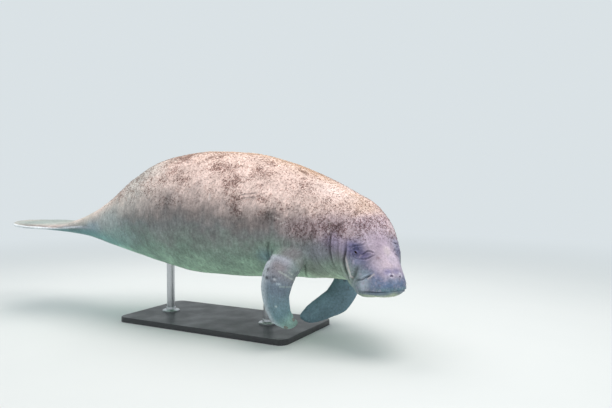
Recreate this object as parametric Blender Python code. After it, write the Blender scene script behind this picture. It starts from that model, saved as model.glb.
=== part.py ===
"""A manatee, life size, turning slowly as it swims, held over a plain display stand.

Metres, +Z up, +X towards the head, +Y to the animal's left. The origin is the middle of the
underside of the stand's base. The animal is drawn straight first, by upright cross-sections
along its length, and then turned sideways along its spine, so that the head and the tail
swing towards its right.
"""

import math

import bmesh
import bpy
import numpy as np
from mathutils import Matrix, Vector

# Gap that neighbouring pieces keep, so that they meet face to face, and the little more that a
# copy is grown by where it cuts a piece that leans on it
GAP = 0.0003
CLEARANCE = 0.0004

# Body: length along the spine, and how far its ends are rounded off
BODY_LENGTH = 2.805
TAIL_TIP_ROUND = 0.27
TAIL_TIP_THIN = 0.03
NOSE_ROUND = 0.050
NOSE_BLUNTNESS = 2.3

# Cross-sections along the straight body: distance from the tail tip, half width, height of
# the widest level, top, underside, and how square the section is above and below that level
STATIONS = (
    (0.00, 0.258, 0.008, 0.022, -0.008, 2.6, 2.6),
    (0.20, 0.256, -0.001, 0.018, -0.020, 2.6, 2.6),
    (0.40, 0.207, -0.014, 0.015, -0.035, 2.3, 2.3),
    (0.60, 0.173, 0.002, 0.084, -0.074, 2.0, 2.0),
    (0.80, 0.229, 0.025, 0.193, -0.128, 2.0, 2.0),
    (1.00, 0.302, 0.060, 0.329, -0.169, 2.0, 2.1),
    (1.25, 0.378, 0.085, 0.431, -0.214, 2.05, 2.2),
    (1.50, 0.405, 0.090, 0.458, -0.246, 2.1, 2.3),
    (1.75, 0.396, 0.085, 0.445, -0.246, 2.1, 2.3),
    (2.00, 0.352, 0.070, 0.390, -0.232, 2.1, 2.25),
    (2.20, 0.294, 0.045, 0.315, -0.224, 2.05, 2.2),
    (2.40, 0.227, 0.010, 0.232, -0.214, 2.0, 2.1),
    (2.50, 0.190, -0.023, 0.197, -0.206, 2.0, 2.1),
    (2.60, 0.160, -0.080, 0.133, -0.232, 2.0, 2.4),
    (2.65, 0.130, -0.122, 0.052, -0.260, 2.0, 3.0),
    (2.70, 0.104, -0.155, -0.016, -0.258, 2.1, 3.0),
    (2.77, 0.076, -0.183, -0.110, -0.247, 2.2, 3.0),
    (2.805, 0.066, -0.189, -0.148, -0.240, 2.3, 3.0),
)

# Pose: how far the tail and the head are turned from the middle of the body, and between which stations
TAIL_TURN = math.radians(10.4)
HEAD_TURN = math.radians(-35.9)
TAIL_TURN_SPAN = (0.4, 1.5)
HEAD_TURN_SPAN = (2.0, 2.62)

# Place over the stand: the station above the origin, and the height of the body's zero level
STAND_STATION = 1.56
BODY_HEIGHT = 0.545

# Where the body is parted into its pieces
PADDLE_END = 0.60
TAIL_STOCK_END = 1.02
TORSO_END = 1.99
CHEST_END = 2.40
NECK_END = 2.53

# Eyes and nostrils, on the straight body; the left ones mirror the right ones
EYE_X, EYE_Z = 2.645, -0.043
EYE_RADIUS = 0.0105
SOCKET_RADIUS = 0.0113
EYE_DEPTH = 0.0045
LID_RADIUS, LID_THICKNESS = 0.0115, 0.0036
LID_STRETCH, LID_LIFT = 1.15, 0.0005
LID_SEGMENTS, LID_SIDES = 14, 6
NOSTRIL_X, NOSTRIL_Y, NOSTRIL_Z = 2.788, 0.025, -0.140
NOSTRIL_HALF = (0.0085, 0.0050, 0.0120)

# Mounds on the skin: centre, reach along each axis, and height. They mirror across the body
MOUNDS = {
    "upper_lip": ((2.775, 0.060, -0.200), (0.055, 0.045, 0.035), 0.009),
    "lip_corner": ((2.690, 0.098, -0.212), (0.045, 0.045, 0.030), 0.009),
    "nostril": ((2.799, 0.025, -0.139), (0.018, 0.016, 0.016), 0.005),
    "brow": ((2.635, 0.105, -0.012), (0.040, 0.040, 0.022), 0.005),
    "eye_hollow": ((2.650, 0.116, -0.045), (0.026, 0.040, 0.022), -0.006),
    "shoulder": ((2.190, 0.270, -0.075), (0.110, 0.080, 0.090), 0.016),
    "lip_cleft": ((2.805, 0.000, -0.185), (0.030, 0.015, 0.030), -0.003),
    "armpit": ((2.070, 0.300, -0.135), (0.040, 0.060, 0.060), -0.010),
}

# Skin folds on the neck and throat: heights from low to high, the station of the fold at each
# of them, its depth and its half width
FOLDS = (
    ((-0.240, -0.177, -0.127, -0.073, 0.000), (2.630, 2.624, 2.612, 2.599, 2.594), 0.011, 0.014),
    ((-0.210, -0.130, -0.085, 0.000, 0.060), (2.545, 2.528, 2.510, 2.509, 2.505), 0.008, 0.014),
    ((-0.220, -0.160, -0.080, 0.000, 0.040), (2.410, 2.400, 2.385, 2.390, 2.395), 0.004, 0.014),
    ((-0.230, -0.194, -0.148, -0.100), (2.205, 2.217, 2.265, 2.285), 0.005, 0.013),
)
FOLD_FADE = 0.022

# Mouth: its corner, its front, how far the lower lip stands back, and creases cut into the
# head, as points near the right side's skin
MOUTH_CORNER_X, MOUTH_CORNER_Z = 2.645, -0.234
MOUTH_FRONT_X, MOUTH_FRONT_Z = 2.800, -0.214
LOWER_LIP_STEP = 0.007
CHEEK_CREASE = (
    (2.662, 0.126, -0.172),
    (2.690, 0.112, -0.163),
    (2.716, 0.102, -0.152),
    (2.741, 0.088, -0.136),
    (2.760, 0.070, -0.122),
)
CREASE_RADIUS = 0.0038


def smooth_step(start, end, value):
    """0 before start, 1 after end, and an even rise between them."""
    share = np.clip((np.asarray(value, float) - start) / (end - start), 0, 1)
    return share * share * (3 - 2 * share)


def even_curve(stations, values, at):
    """A smooth curve through the stations that never overshoots them."""
    stations, values, at = (np.asarray(v, float) for v in (stations, values, at))
    width = np.diff(stations)
    rise = np.diff(values) / width
    slope = np.zeros_like(values)
    slope[0], slope[-1] = rise[0], rise[-1]
    for i in range(1, len(stations) - 1):
        if rise[i - 1] * rise[i] > 0:
            before, after = 2 * width[i] + width[i - 1], width[i] + 2 * width[i - 1]
            slope[i] = (before + after) / (before / rise[i - 1] + after / rise[i])
    k = np.clip(np.searchsorted(stations, at, side="right") - 1, 0, len(width) - 1)
    t = (at - stations[k]) / width[k]
    return (
        (2 * t**3 - 3 * t**2 + 1) * values[k]
        + (t**3 - 2 * t**2 + t) * width[k] * slope[k]
        + (3 * t**2 - 2 * t**3) * values[k + 1]
        + (t**3 - t**2) * width[k] * slope[k + 1]
    )


def section_sizes(x):
    """Half width, widest level, height above and below it, and the two roundnesses, at station x."""
    columns = list(zip(*STATIONS))
    half_width, level, top, bottom, above, below = (even_curve(columns[0], c, x) for c in columns[1:])
    tip = np.sqrt(1 - np.clip(1 - x / TAIL_TIP_ROUND, 0, 1) ** 2)
    thin = np.sqrt(1 - np.clip(1 - x / TAIL_TIP_THIN, 0, 1) ** 2)
    past = np.clip((x - BODY_LENGTH + NOSE_ROUND) / NOSE_ROUND, 0, 1)
    nose = (1 - past**NOSE_BLUNTNESS) ** (1 / NOSE_BLUNTNESS)
    rise, drop = ((top - level) * thin * nose, (level - bottom) * thin * nose)
    return half_width * tip * nose, level, rise, drop, above, below


def plain_skin(x, angle):
    """Points of the straight body without its mounds and folds. Angle 0 is the left flank and a
    quarter turn is the back."""
    half_width, level, rise, drop, above, below = section_sizes(x)
    across, up = np.cos(angle), np.sin(angle)
    power = 2 / np.where(up > 0, above, below)
    y = half_width * np.sign(across) * np.abs(across) ** power
    z = level + np.where(up > 0, rise, drop) * np.sign(up) * np.abs(up) ** power
    return np.stack([x, y, z], -1)


def outward(points):
    """The direction in which the skin's mounds rise: away from the spine, and forward at the nose."""
    level = section_sizes(points[..., 0])[1]
    ahead = np.clip(points[..., 0] - 2.70, 0, 1) * 0.9
    way = np.stack([ahead, points[..., 1], points[..., 2] - level], -1)
    return way / np.maximum(np.linalg.norm(way, axis=-1, keepdims=True), 1e-6)


def mouth_height(x):
    """The height of the mouth's line at station x."""
    return np.interp(x, (MOUTH_CORNER_X, MOUTH_FRONT_X), (MOUTH_CORNER_Z, MOUTH_FRONT_Z))


def relief(points):
    """How far the skin stands out at each point, from its mounds, folds and lips."""
    x, z = points[..., 0], points[..., 2]
    height = np.zeros(x.shape)
    mirrored = points * (1, 0, 1) + np.abs(points) * (0, 1, 0)
    for centre, reach, amount in MOUNDS.values():
        apart = ((mirrored - centre) / reach) ** 2
        height += amount * np.exp(-apart.sum(-1))
    for heights, stations, depth, half_width in FOLDS:
        station = even_curve(heights, stations, np.clip(z, heights[0], heights[-1]))
        slant = np.hypot(1, np.interp(z, heights, np.gradient(stations, heights)))
        across = (x - station) / (half_width * slant)
        strength = 1 - smooth_step(heights[-1] - FOLD_FADE, heights[-1] + FOLD_FADE, z)
        strength *= smooth_step(heights[0] - FOLD_FADE, heights[0] + FOLD_FADE, z)
        height += depth * strength * (0.35 * np.exp(-((np.abs(across) - 2.2) ** 2)) - np.exp(-(across**2)))
    below_mouth = smooth_step(0.005, -0.005, z - mouth_height(x))
    past_corner = smooth_step(MOUTH_CORNER_X - 0.01, MOUTH_CORNER_X + 0.03, x)
    return height - LOWER_LIP_STEP * below_mouth * past_corner


def skin(x, angle):
    """Points of the straight body's skin."""
    points = plain_skin(x, angle)
    return points + outward(points) * relief(points)[..., None]


def spine(x):
    """Where station x of the spine is in plan, and its heading."""
    fine = np.linspace(0, BODY_LENGTH, 569)
    turn = TAIL_TURN * (1 - smooth_step(*TAIL_TURN_SPAN, fine))
    turn += HEAD_TURN * smooth_step(*HEAD_TURN_SPAN, fine)
    step = fine[1]
    path = []
    for run in (np.cos(turn), np.sin(turn)):
        along = np.concatenate([[0], np.cumsum((run[1:] + run[:-1]) / 2 * step)])
        path.append(np.interp(x, fine, along) - np.interp(STAND_STATION, fine, along))
    return path[0], path[1], np.interp(x, fine, turn)


def posed(points):
    """Straight body points, turned along the spine and set over the stand."""
    points = np.asarray(points, float)
    x, y, turn = spine(points[..., 0])
    across, height = points[..., 1], points[..., 2] + BODY_HEIGHT
    return np.stack([x - np.sin(turn) * across, y + np.cos(turn) * across, height], -1)


def skin_at(x, z, side):
    """The straight body's skin point on one flank at station x and height z, and its outward normal."""
    angles = np.linspace(-math.pi / 2, math.pi / 2, 721)
    ring = skin(np.full_like(angles, x), angles)
    k = int(np.argmin(np.abs(ring[:, 2] - z)))
    step = 0.004
    along = skin(np.array([x - step, x + step]), np.array([angles[k]] * 2))
    round_way = skin(np.array([x, x]), np.array([angles[k] - 0.04, angles[k] + 0.04]))
    normal = np.cross(round_way[1] - round_way[0], along[1] - along[0])
    normal /= np.linalg.norm(normal)
    if normal[1] < 0:
        normal = -normal
    flip = np.array([1, side, 1])
    return ring[k] * flip, normal * flip


def posed_direction(point, direction):
    """A direction at a point of the straight body, as it is on the turned one."""
    turned = posed(point + direction * 1e-3) - posed(point)
    return Vector(turned).normalized()


# Each sub-part's colour, roughness and metal value
FINISHES = {
    "back": ((0.60, 0.50, 0.45, 1), 0.85, 0.0),
    "face": ((0.47, 0.43, 0.49, 1), 0.70, 0.0),
    "limb": ((0.36, 0.38, 0.40, 1), 0.75, 0.0),
    "tail": ((0.55, 0.50, 0.46, 1), 0.80, 0.0),
    "eye": ((0.02, 0.02, 0.02, 1), 0.10, 0.0),
    "stand": ((0.10, 0.10, 0.11, 1), 0.50, 0.0),
    "rod": ((0.55, 0.56, 0.58, 1), 0.30, 1.0),
}


def finish(obj, name):
    """Gives an object its material."""
    material = bpy.data.materials.get(name) or bpy.data.materials.new(name)
    material.use_nodes = True
    shader = material.node_tree.nodes["Principled BSDF"]
    colour, roughness, metal = FINISHES[name]
    shader.inputs["Base Color"].default_value = colour
    shader.inputs["Roughness"].default_value = roughness
    shader.inputs["Metallic"].default_value = metal
    obj.data.materials.clear()
    obj.data.materials.append(material)
    return obj


def mesh_object(name, build, finish_name=None):
    """A new object whose mesh the build function fills. Its faces are made triangles, so that a
    grown copy of it has the same facets."""
    mesh = bpy.data.meshes.new(name)
    shape = bmesh.new()
    build(shape)
    bmesh.ops.recalc_face_normals(shape, faces=shape.faces)
    bmesh.ops.triangulate(shape, faces=shape.faces)
    shape.to_mesh(mesh)
    shape.free()
    mesh.shade_smooth()
    mesh.set_sharp_from_angle(angle=math.radians(50))
    obj = bpy.data.objects.new(name, mesh)
    bpy.context.scene.collection.objects.link(obj)
    if finish_name:
        finish(obj, finish_name)
    return obj


def loft(shape, rings):
    """Joins rings of points, each with as many points, and closes both ends."""
    made = [[shape.verts.new(p) for p in ring] for ring in rings]
    count = len(made[0])
    for a, b in zip(made, made[1:]):
        for j in range(count):
            k = (j + 1) % count
            shape.faces.new((a[j], a[k], b[k], b[j]))
    shape.faces.new(made[0])
    shape.faces.new(made[-1])


def body_piece(name, start, end, rings, around, finish_name, nose_end=False, tail_end=False):
    """One length of the body between two stations, closed by flat faces at its cuts."""
    share = np.linspace(0, 1, rings)
    if nose_end:
        share = 1 - (1 - share) ** 1.35
    if tail_end:
        share = share**1.6
    low = start + (1e-4 if tail_end else GAP / 2)
    high = end - (1e-4 if nose_end else GAP / 2)
    stations = low + (high - low) * share
    angles = np.linspace(0, 2 * math.pi, around, endpoint=False)
    grid_x, grid_a = np.meshgrid(stations, angles, indexing="ij")
    points = posed(skin(grid_x, grid_a))
    return mesh_object(name, lambda shape: loft(shape, points), finish_name)


def grown(source, name, amount):
    """A hidden copy of an object, grown outward, to cut what meets it."""
    cutter = source.copy()
    cutter.data = source.data.copy()
    cutter.name = name
    bpy.context.scene.collection.objects.link(cutter)
    for vertex in cutter.data.vertices:
        vertex.co += vertex.normal * amount
    return as_cutter(cutter)


def as_cutter(obj):
    obj.hide_render = True
    obj.display_type = "WIRE"
    return obj


def boolean(obj, other, operation):
    """Cuts or joins by an object, or joins a whole collection."""
    modifier = obj.modifiers.new("shape", "BOOLEAN")
    modifier.operation = operation
    modifier.solver = "EXACT"
    if isinstance(other, bpy.types.Collection):
        modifier.operand_type = "COLLECTION"
        modifier.collection = other
    else:
        modifier.object = other
    return modifier


def apply_modifiers(obj):
    """Writes an object's modifiers into its mesh, keeping only its largest closed surface."""
    graph = bpy.context.evaluated_depsgraph_get()
    made = bpy.data.meshes.new_from_object(obj.evaluated_get(graph))
    obj.modifiers.clear()
    shape = bmesh.new()
    shape.from_mesh(made)
    left, largest = set(shape.verts), set()
    while left:
        found, edge = set(), [left.pop()]
        while edge:
            vertex = edge.pop()
            found.add(vertex)
            near = {e.other_vert(vertex) for e in vertex.link_edges} & left
            left -= near
            edge.extend(near)
        largest = max(largest, found, key=len)
    bmesh.ops.delete(shape, geom=[v for v in shape.verts if v not in largest], context="VERTS")
    shape.to_mesh(made)
    shape.free()
    obj.data = made


def join_pieces(obj, pieces):
    """Fuses the pieces into the object by one Boolean union, and removes them."""
    group = bpy.data.collections.new("joined to " + obj.name)
    bpy.context.scene.collection.children.link(group)
    for piece in pieces:
        bpy.context.scene.collection.objects.unlink(piece)
        group.objects.link(piece)
    boolean(obj, group, "UNION")
    apply_modifiers(obj)
    for piece in pieces:
        bpy.data.objects.remove(piece)
    bpy.data.collections.remove(group)


def round_piece(name, place, half_sizes, segments, rings, finish_name=None):
    """An ellipsoid, placed by a matrix."""

    def build(shape):
        bmesh.ops.create_uvsphere(shape, u_segments=segments, v_segments=rings, radius=1)
        bmesh.ops.transform(shape, matrix=place @ Matrix.Diagonal((*half_sizes, 1)), verts=shape.verts)

    return mesh_object(name, build, finish_name)


def looking(point, direction, up=(0, 0, 1)):
    """A matrix at a point with its Z along a direction and its Y as near to up as it can be."""
    z = Vector(direction).normalized()
    x = Vector(up).cross(z).normalized()
    y = z.cross(x)
    return Matrix.Translation(Vector(point)) @ Matrix((x, y, z)).transposed().to_4x4()


def smooth_path(points, count):
    """Points along a smooth curve through the given ones."""
    points = np.asarray(points, float)
    padded = np.vstack([2 * points[0] - points[1], points, 2 * points[-1] - points[-2]])
    made = []
    for value in np.linspace(0, len(points) - 1, count):
        k = min(int(value), len(points) - 2)
        t = value - k
        a, b, c, d = padded[k : k + 4]
        square, cube = 2 * a - 5 * b + 4 * c - d, 3 * b - a - 3 * c + d
        made.append(b + 0.5 * ((c - a) * t + square * t**2 + cube * t**3))
    return np.array(made)


def tube(name, path, radii, sides=5):
    """A closed tube along a path, tapering by its radii, to cut a crease."""

    def build(shape):
        rings = []
        for i, point in enumerate(path):
            ahead = path[min(i + 1, len(path) - 1)] - path[max(i - 1, 0)]
            place = looking(point, ahead, up=(0.3, 0.2, 1))
            turns = [2 * math.pi * k / sides for k in range(sides)]
            rings.append([place @ (Vector((math.cos(t), math.sin(t), 0)) * radii[i]) for t in turns])
        loft(shape, rings)

    return as_cutter(mesh_object(name, build))


# Flippers, from inside the shoulder to the tip. Each row has a point on the middle line, with
# its height above the body's zero level, the way the broad face looks, half the breadth and
# half the thickness
RIGHT_FLIPPER = (
    ((0.579, -0.203, -0.043), (0.40, -0.85, 0.40), 0.086, 0.064),
    ((0.602, -0.295, -0.098), (0.40, -0.85, 0.30), 0.084, 0.056),
    ((0.594, -0.359, -0.154), (0.42, -0.88, 0.15), 0.081, 0.047),
    ((0.590, -0.387, -0.214), (0.45, -0.88, 0.05), 0.075, 0.038),
    ((0.588, -0.390, -0.272), (0.45, -0.88, -0.05), 0.066, 0.030),
    ((0.593, -0.379, -0.327), (0.45, -0.88, -0.10), 0.060, 0.024),
    ((0.604, -0.358, -0.372), (0.50, -0.85, -0.20), 0.053, 0.019),
    ((0.632, -0.327, -0.405), (0.50, -0.80, -0.25), 0.040, 0.015),
    ((0.662, -0.301, -0.408), (0.50, -0.80, -0.25), 0.024, 0.011),
)
LEFT_FLIPPER = (
    ((0.650, 0.190, -0.050), (0.10, 0.85, 0.40), 0.083, 0.062),
    ((0.675, 0.265, -0.135), (0.00, 0.90, 0.25), 0.080, 0.054),
    ((0.690, 0.258, -0.222), (-0.20, 0.90, 0.10), 0.077, 0.044),
    ((0.686, 0.218, -0.300), (-0.35, 0.88, 0.00), 0.078, 0.036),
    ((0.659, 0.167, -0.370), (-0.45, 0.85, -0.05), 0.081, 0.028),
    ((0.622, 0.112, -0.403), (-0.45, 0.85, -0.05), 0.073, 0.023),
    ((0.585, 0.067, -0.428), (-0.45, 0.85, -0.05), 0.063, 0.018),
    ((0.549, 0.027, -0.446), (-0.45, 0.85, -0.05), 0.050, 0.014),
    ((0.515, -0.012, -0.452), (-0.45, 0.85, -0.05), 0.030, 0.011),
)
FLIPPER_TIP_ROUND = 0.10
FLIPPER_RINGS, FLIPPER_AROUND = 24, 22
NAIL_HALF = (0.0095, 0.0045, 0.0130)
NAIL_SHARES = (-0.45, 0.0, 0.45)


def flipper_frames(limb, count):
    """Along a flipper: its middle, the way along it, the way its face looks, its broad way, half
    its breadth and half its thickness."""
    points, faces, breadths, thicknesses = zip(*limb)
    fine = smooth_path(points, 241) + (0, 0, BODY_HEIGHT)
    run = np.concatenate([[0], np.cumsum(np.linalg.norm(np.diff(fine, axis=0), axis=1))])
    share = 1 - (1 - np.linspace(0, 1, count)) ** 1.4
    knots = np.interp(np.linspace(0, 240, len(points)), np.arange(241), run / run[-1])
    at = np.stack([np.interp(share, run / run[-1], column) for column in fine.T], -1)
    along = np.gradient(at, axis=0)
    along /= np.linalg.norm(along, axis=1, keepdims=True)
    face = np.stack([even_curve(knots, column, share) for column in zip(*faces)], -1)
    face -= along * (face * along).sum(1, keepdims=True)
    face /= np.linalg.norm(face, axis=1, keepdims=True)
    past = np.clip((share - 1 + FLIPPER_TIP_ROUND) / FLIPPER_TIP_ROUND, 0, 1)
    tip = np.sqrt(1 - 0.995 * past**2.2)
    breadth = even_curve(knots, breadths, share) * tip
    thickness = even_curve(knots, thicknesses, share) * np.sqrt(tip)
    return at, along, face, np.cross(face, along), breadth, thickness


def flipper(name, limb, clearance):
    """A flipper with its nails, cut clear of the chest that it grows from."""
    at, along, face, lead, breadth, thickness = flipper_frames(limb, FLIPPER_RINGS)
    turns = np.linspace(0, 2 * math.pi, FLIPPER_AROUND, endpoint=False)
    across = breadth[:, None] * np.cos(turns)
    out = thickness[:, None] * np.sin(turns) * (1 + 0.25 * np.cos(turns))
    points = at[:, None] + lead[:, None] * across[..., None] + face[:, None] * out[..., None]
    obj = mesh_object(name, lambda shape: loft(shape, points), "limb")
    nails = []
    for i, share in enumerate(NAIL_SHARES):
        ring = FLIPPER_RINGS - 5
        root = at[ring] + lead[ring] * breadth[ring] * share * 1.25 + along[ring] * 0.022 * (1 - share**2)
        root = root + face[ring] * thickness[ring] * 0.55
        place = looking(root, along[ring], face[ring])
        nails.append(round_piece(f"{name}_nail_{i}", place, NAIL_HALF, 8, 6))
    join_pieces(obj, nails)
    boolean(obj, clearance, "DIFFERENCE")
    apply_modifiers(obj)
    return finish(obj, "limb")


def eye_place(side):
    """The eye's centre and the way it looks, on the turned body."""
    point, normal = skin_at(EYE_X, EYE_Z, side)
    return Vector(posed(point)), posed_direction(point, normal)


def crease(name, points, ends, side):
    """A tube along a crease on one side of the head, or on both where the points cross its middle."""
    path = [np.array(p) * (1, side, 1) for p in points]
    fine = smooth_path(path, 20)
    share = np.linspace(0, 1, len(fine))
    radii = CREASE_RADIUS * np.clip(np.minimum(share, 1 - share) * 8 + ends, 0.15, 1)
    return tube(name, posed(fine), radii)


def onto_skin(points):
    """Straight body points, moved along the outward direction until they lie on the skin."""
    moved = []
    for point in points:
        point = np.array(point, float)
        x = np.full(1441, min(point[0], BODY_LENGTH - 2e-3))
        ring = skin(x, np.linspace(-math.pi, math.pi, 1441))
        moved.append(ring[int(np.argmin(np.linalg.norm(ring - point, axis=1)))])
    return moved


def mouth_line():
    """The line between the lips, from one corner round the front to the other, on the straight body."""
    turns = np.linspace(-math.pi / 2, math.pi / 2, 19)
    points = []
    for turn in turns:
        x = MOUTH_CORNER_X + (BODY_LENGTH - 0.004 - MOUTH_CORNER_X) * math.cos(turn) ** 0.55
        points.append((x, 0.12 * math.sin(turn), float(mouth_height(x))))
    return onto_skin(points)


def make_lid(label, place):
    """The rim of the lids round one eye: a ring, wider along the head than it is high."""

    def build(shape):
        rows = []
        for turn in np.linspace(0, 2 * math.pi, LID_SEGMENTS, endpoint=False):
            row = []
            for roll in np.linspace(0, 2 * math.pi, LID_SIDES, endpoint=False):
                reach = LID_RADIUS + LID_THICKNESS * math.cos(roll)
                long_way, high_way = reach * math.cos(turn) * LID_STRETCH, reach * math.sin(turn)
                point = Vector((long_way, high_way, LID_THICKNESS * math.sin(roll)))
                row.append(shape.verts.new(place @ point))
            rows.append(row)
        for row, after in zip(rows, rows[1:] + rows[:1]):
            for j in range(LID_SIDES):
                k = (j + 1) % LID_SIDES
                shape.faces.new((row[j], row[k], after[k], after[j]))

    return mesh_object(f"lid_{label}", build)


def make_head():
    """The head, with lids, eye sockets, nostrils, the line of the mouth and the cheek creases."""
    head = body_piece("head", NECK_END, BODY_LENGTH, 32, 52, "face", nose_end=True)
    lids = []
    for side, label in ((-1, "right"), (1, "left")):
        centre, look = eye_place(side)
        lids.append(make_lid(label, looking(centre + look * LID_LIFT, look)))
    join_pieces(head, lids)
    for side, label in ((-1, "right"), (1, "left")):
        centre, look = eye_place(side)
        inside = centre - look * EYE_DEPTH
        socket = round_piece(f"socket_{label}", looking(inside, look), (SOCKET_RADIUS,) * 3, 14, 9)
        boolean(head, as_cutter(socket), "DIFFERENCE")
        nostril = onto_skin([(NOSTRIL_X, NOSTRIL_Y * side, NOSTRIL_Z)])[0]
        place = looking(posed(nostril), posed_direction(nostril, np.array((0.75, 0.25 * side, 0.6))))
        pit = round_piece(f"nostril_{label}", place, NOSTRIL_HALF, 10, 7)
        boolean(head, as_cutter(pit), "DIFFERENCE")
        fold = crease(f"cheek_crease_{label}", onto_skin(CHEEK_CREASE), 0.15, side)
        boolean(head, fold, "DIFFERENCE")
    boolean(head, crease("mouth", mouth_line(), 0.15, 1), "DIFFERENCE")
    apply_modifiers(head)
    finish(head, "face")
    return head


def make_eyes():
    for side, label in ((-1, "right"), (1, "left")):
        centre, look = eye_place(side)
        inside = centre - look * EYE_DEPTH
        round_piece(f"eye_{label}", looking(inside, look), (EYE_RADIUS,) * 3, 16, 10, "eye")


# Stand: a flat base with rounded corners, and two rods up to the belly
BASE_LENGTH, BASE_WIDTH, BASE_THICKNESS = 1.14, 0.56, 0.030
BASE_CORNER, BASE_EDGE = 0.05, 0.004
ROD_STATIONS = {"rear": 1.16, "front": 1.86}
ROD_RADIUS = 0.024
ROD_SIDES = 32
ROD_REACH = 0.12


def make_base():
    def build(shape):
        bmesh.ops.create_cube(shape, size=1)
        size = Matrix.Diagonal((BASE_LENGTH, BASE_WIDTH, BASE_THICKNESS, 1))
        raised = Matrix.Translation((0, 0, BASE_THICKNESS / 2)) @ size
        bmesh.ops.transform(shape, matrix=raised, verts=shape.verts)
        low = [e for e in shape.edges if min(v.co.z for v in e.verts) < BASE_THICKNESS / 2]
        upright = [e for e in low if max(v.co.z for v in e.verts) > BASE_THICKNESS / 2]
        bmesh.ops.bevel(shape, geom=upright, offset=BASE_CORNER, segments=6, profile=0.5, affect="EDGES")
        high = [e for e in shape.edges if min(v.co.z for v in e.verts) > BASE_THICKNESS / 2]
        rim = [e for e in high if e.calc_face_angle(0) > 1]
        bmesh.ops.bevel(shape, geom=rim, offset=BASE_EDGE, segments=2, profile=0.5, affect="EDGES")

    return mesh_object("stand_base", build, "stand")


def make_rod(label, station, clearance):
    """A rod from the base up to the belly, cut clear of the skin."""
    x, y, _ = spine(station)
    height = BODY_HEIGHT - ROD_REACH

    def build(shape):
        bottom = BASE_THICKNESS + GAP
        turns = [2 * math.pi * k / ROD_SIDES for k in range(ROD_SIDES)]
        circle = [(x + ROD_RADIUS * math.cos(t), y + ROD_RADIUS * math.sin(t)) for t in turns]
        loft(shape, [[Vector((cx, cy, z)) for cx, cy in circle] for z in (bottom, height)])

    rod = mesh_object(f"stand_rod_{label}", build, "rod")
    boolean(rod, clearance, "DIFFERENCE")
    apply_modifiers(rod)
    return finish(rod, "rod")


def main():
    for old in list(bpy.data.objects):
        bpy.data.objects.remove(old)
    body_piece("tail_paddle", 0.0, PADDLE_END, 20, 36, "tail", tail_end=True)
    body_piece("tail_stock", PADDLE_END, TAIL_STOCK_END, 10, 44, "back")
    torso = body_piece("torso", TAIL_STOCK_END, TORSO_END, 17, 44, "back")
    chest = body_piece("chest", TORSO_END, CHEST_END, 20, 48, "back")
    body_piece("neck", CHEST_END, NECK_END, 12, 52, "back")
    make_head()
    make_eyes()
    torso_clearance = grown(torso, "torso_clearance", CLEARANCE)
    chest_clearance = grown(chest, "chest_clearance", CLEARANCE)
    flipper("flipper_right", RIGHT_FLIPPER, chest_clearance)
    flipper("flipper_left", LEFT_FLIPPER, chest_clearance)
    make_base()
    for label, station in ROD_STATIONS.items():
        make_rod(label, station, torso_clearance)


main()
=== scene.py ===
"""How the manatee model looks: one skin with its folds, lids and lips, the algae on its back,
bristles, eyes, nails, and the finish of its stand.

Metres, in the frame's axes: +X towards the head, +Y to the animal's left, +Z up. The skin uses
the same upright sections as the solids. They are drawn on a straight body, where a place is a
station from the tail tip, a distance to the left and a height, and then turned along its spine.
"""

import math

import bmesh
import bpy
import numpy as np
from mathutils import Matrix, Vector
from mathutils.kdtree import KDTree

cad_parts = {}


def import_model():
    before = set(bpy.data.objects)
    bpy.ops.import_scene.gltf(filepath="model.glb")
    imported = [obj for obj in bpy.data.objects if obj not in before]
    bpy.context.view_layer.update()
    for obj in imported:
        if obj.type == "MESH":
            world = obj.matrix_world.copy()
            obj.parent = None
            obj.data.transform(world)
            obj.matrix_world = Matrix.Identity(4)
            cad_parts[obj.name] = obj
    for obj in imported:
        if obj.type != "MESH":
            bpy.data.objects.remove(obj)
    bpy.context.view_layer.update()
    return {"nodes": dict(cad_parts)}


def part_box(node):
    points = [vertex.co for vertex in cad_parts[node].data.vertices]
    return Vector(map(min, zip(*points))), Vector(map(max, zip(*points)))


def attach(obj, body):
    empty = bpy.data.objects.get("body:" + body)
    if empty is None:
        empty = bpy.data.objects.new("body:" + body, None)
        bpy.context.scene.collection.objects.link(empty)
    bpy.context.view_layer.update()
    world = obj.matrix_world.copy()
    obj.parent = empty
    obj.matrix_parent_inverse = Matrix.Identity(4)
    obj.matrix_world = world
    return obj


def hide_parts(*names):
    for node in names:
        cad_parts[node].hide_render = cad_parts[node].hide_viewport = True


# Body: length along the spine, and how far its ends are rounded off
BODY_LENGTH = 2.805
TAIL_TIP_ROUND = 0.27
TAIL_TIP_THIN = 0.03
NOSE_ROUND = 0.050
NOSE_BLUNTNESS = 2.3

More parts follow.
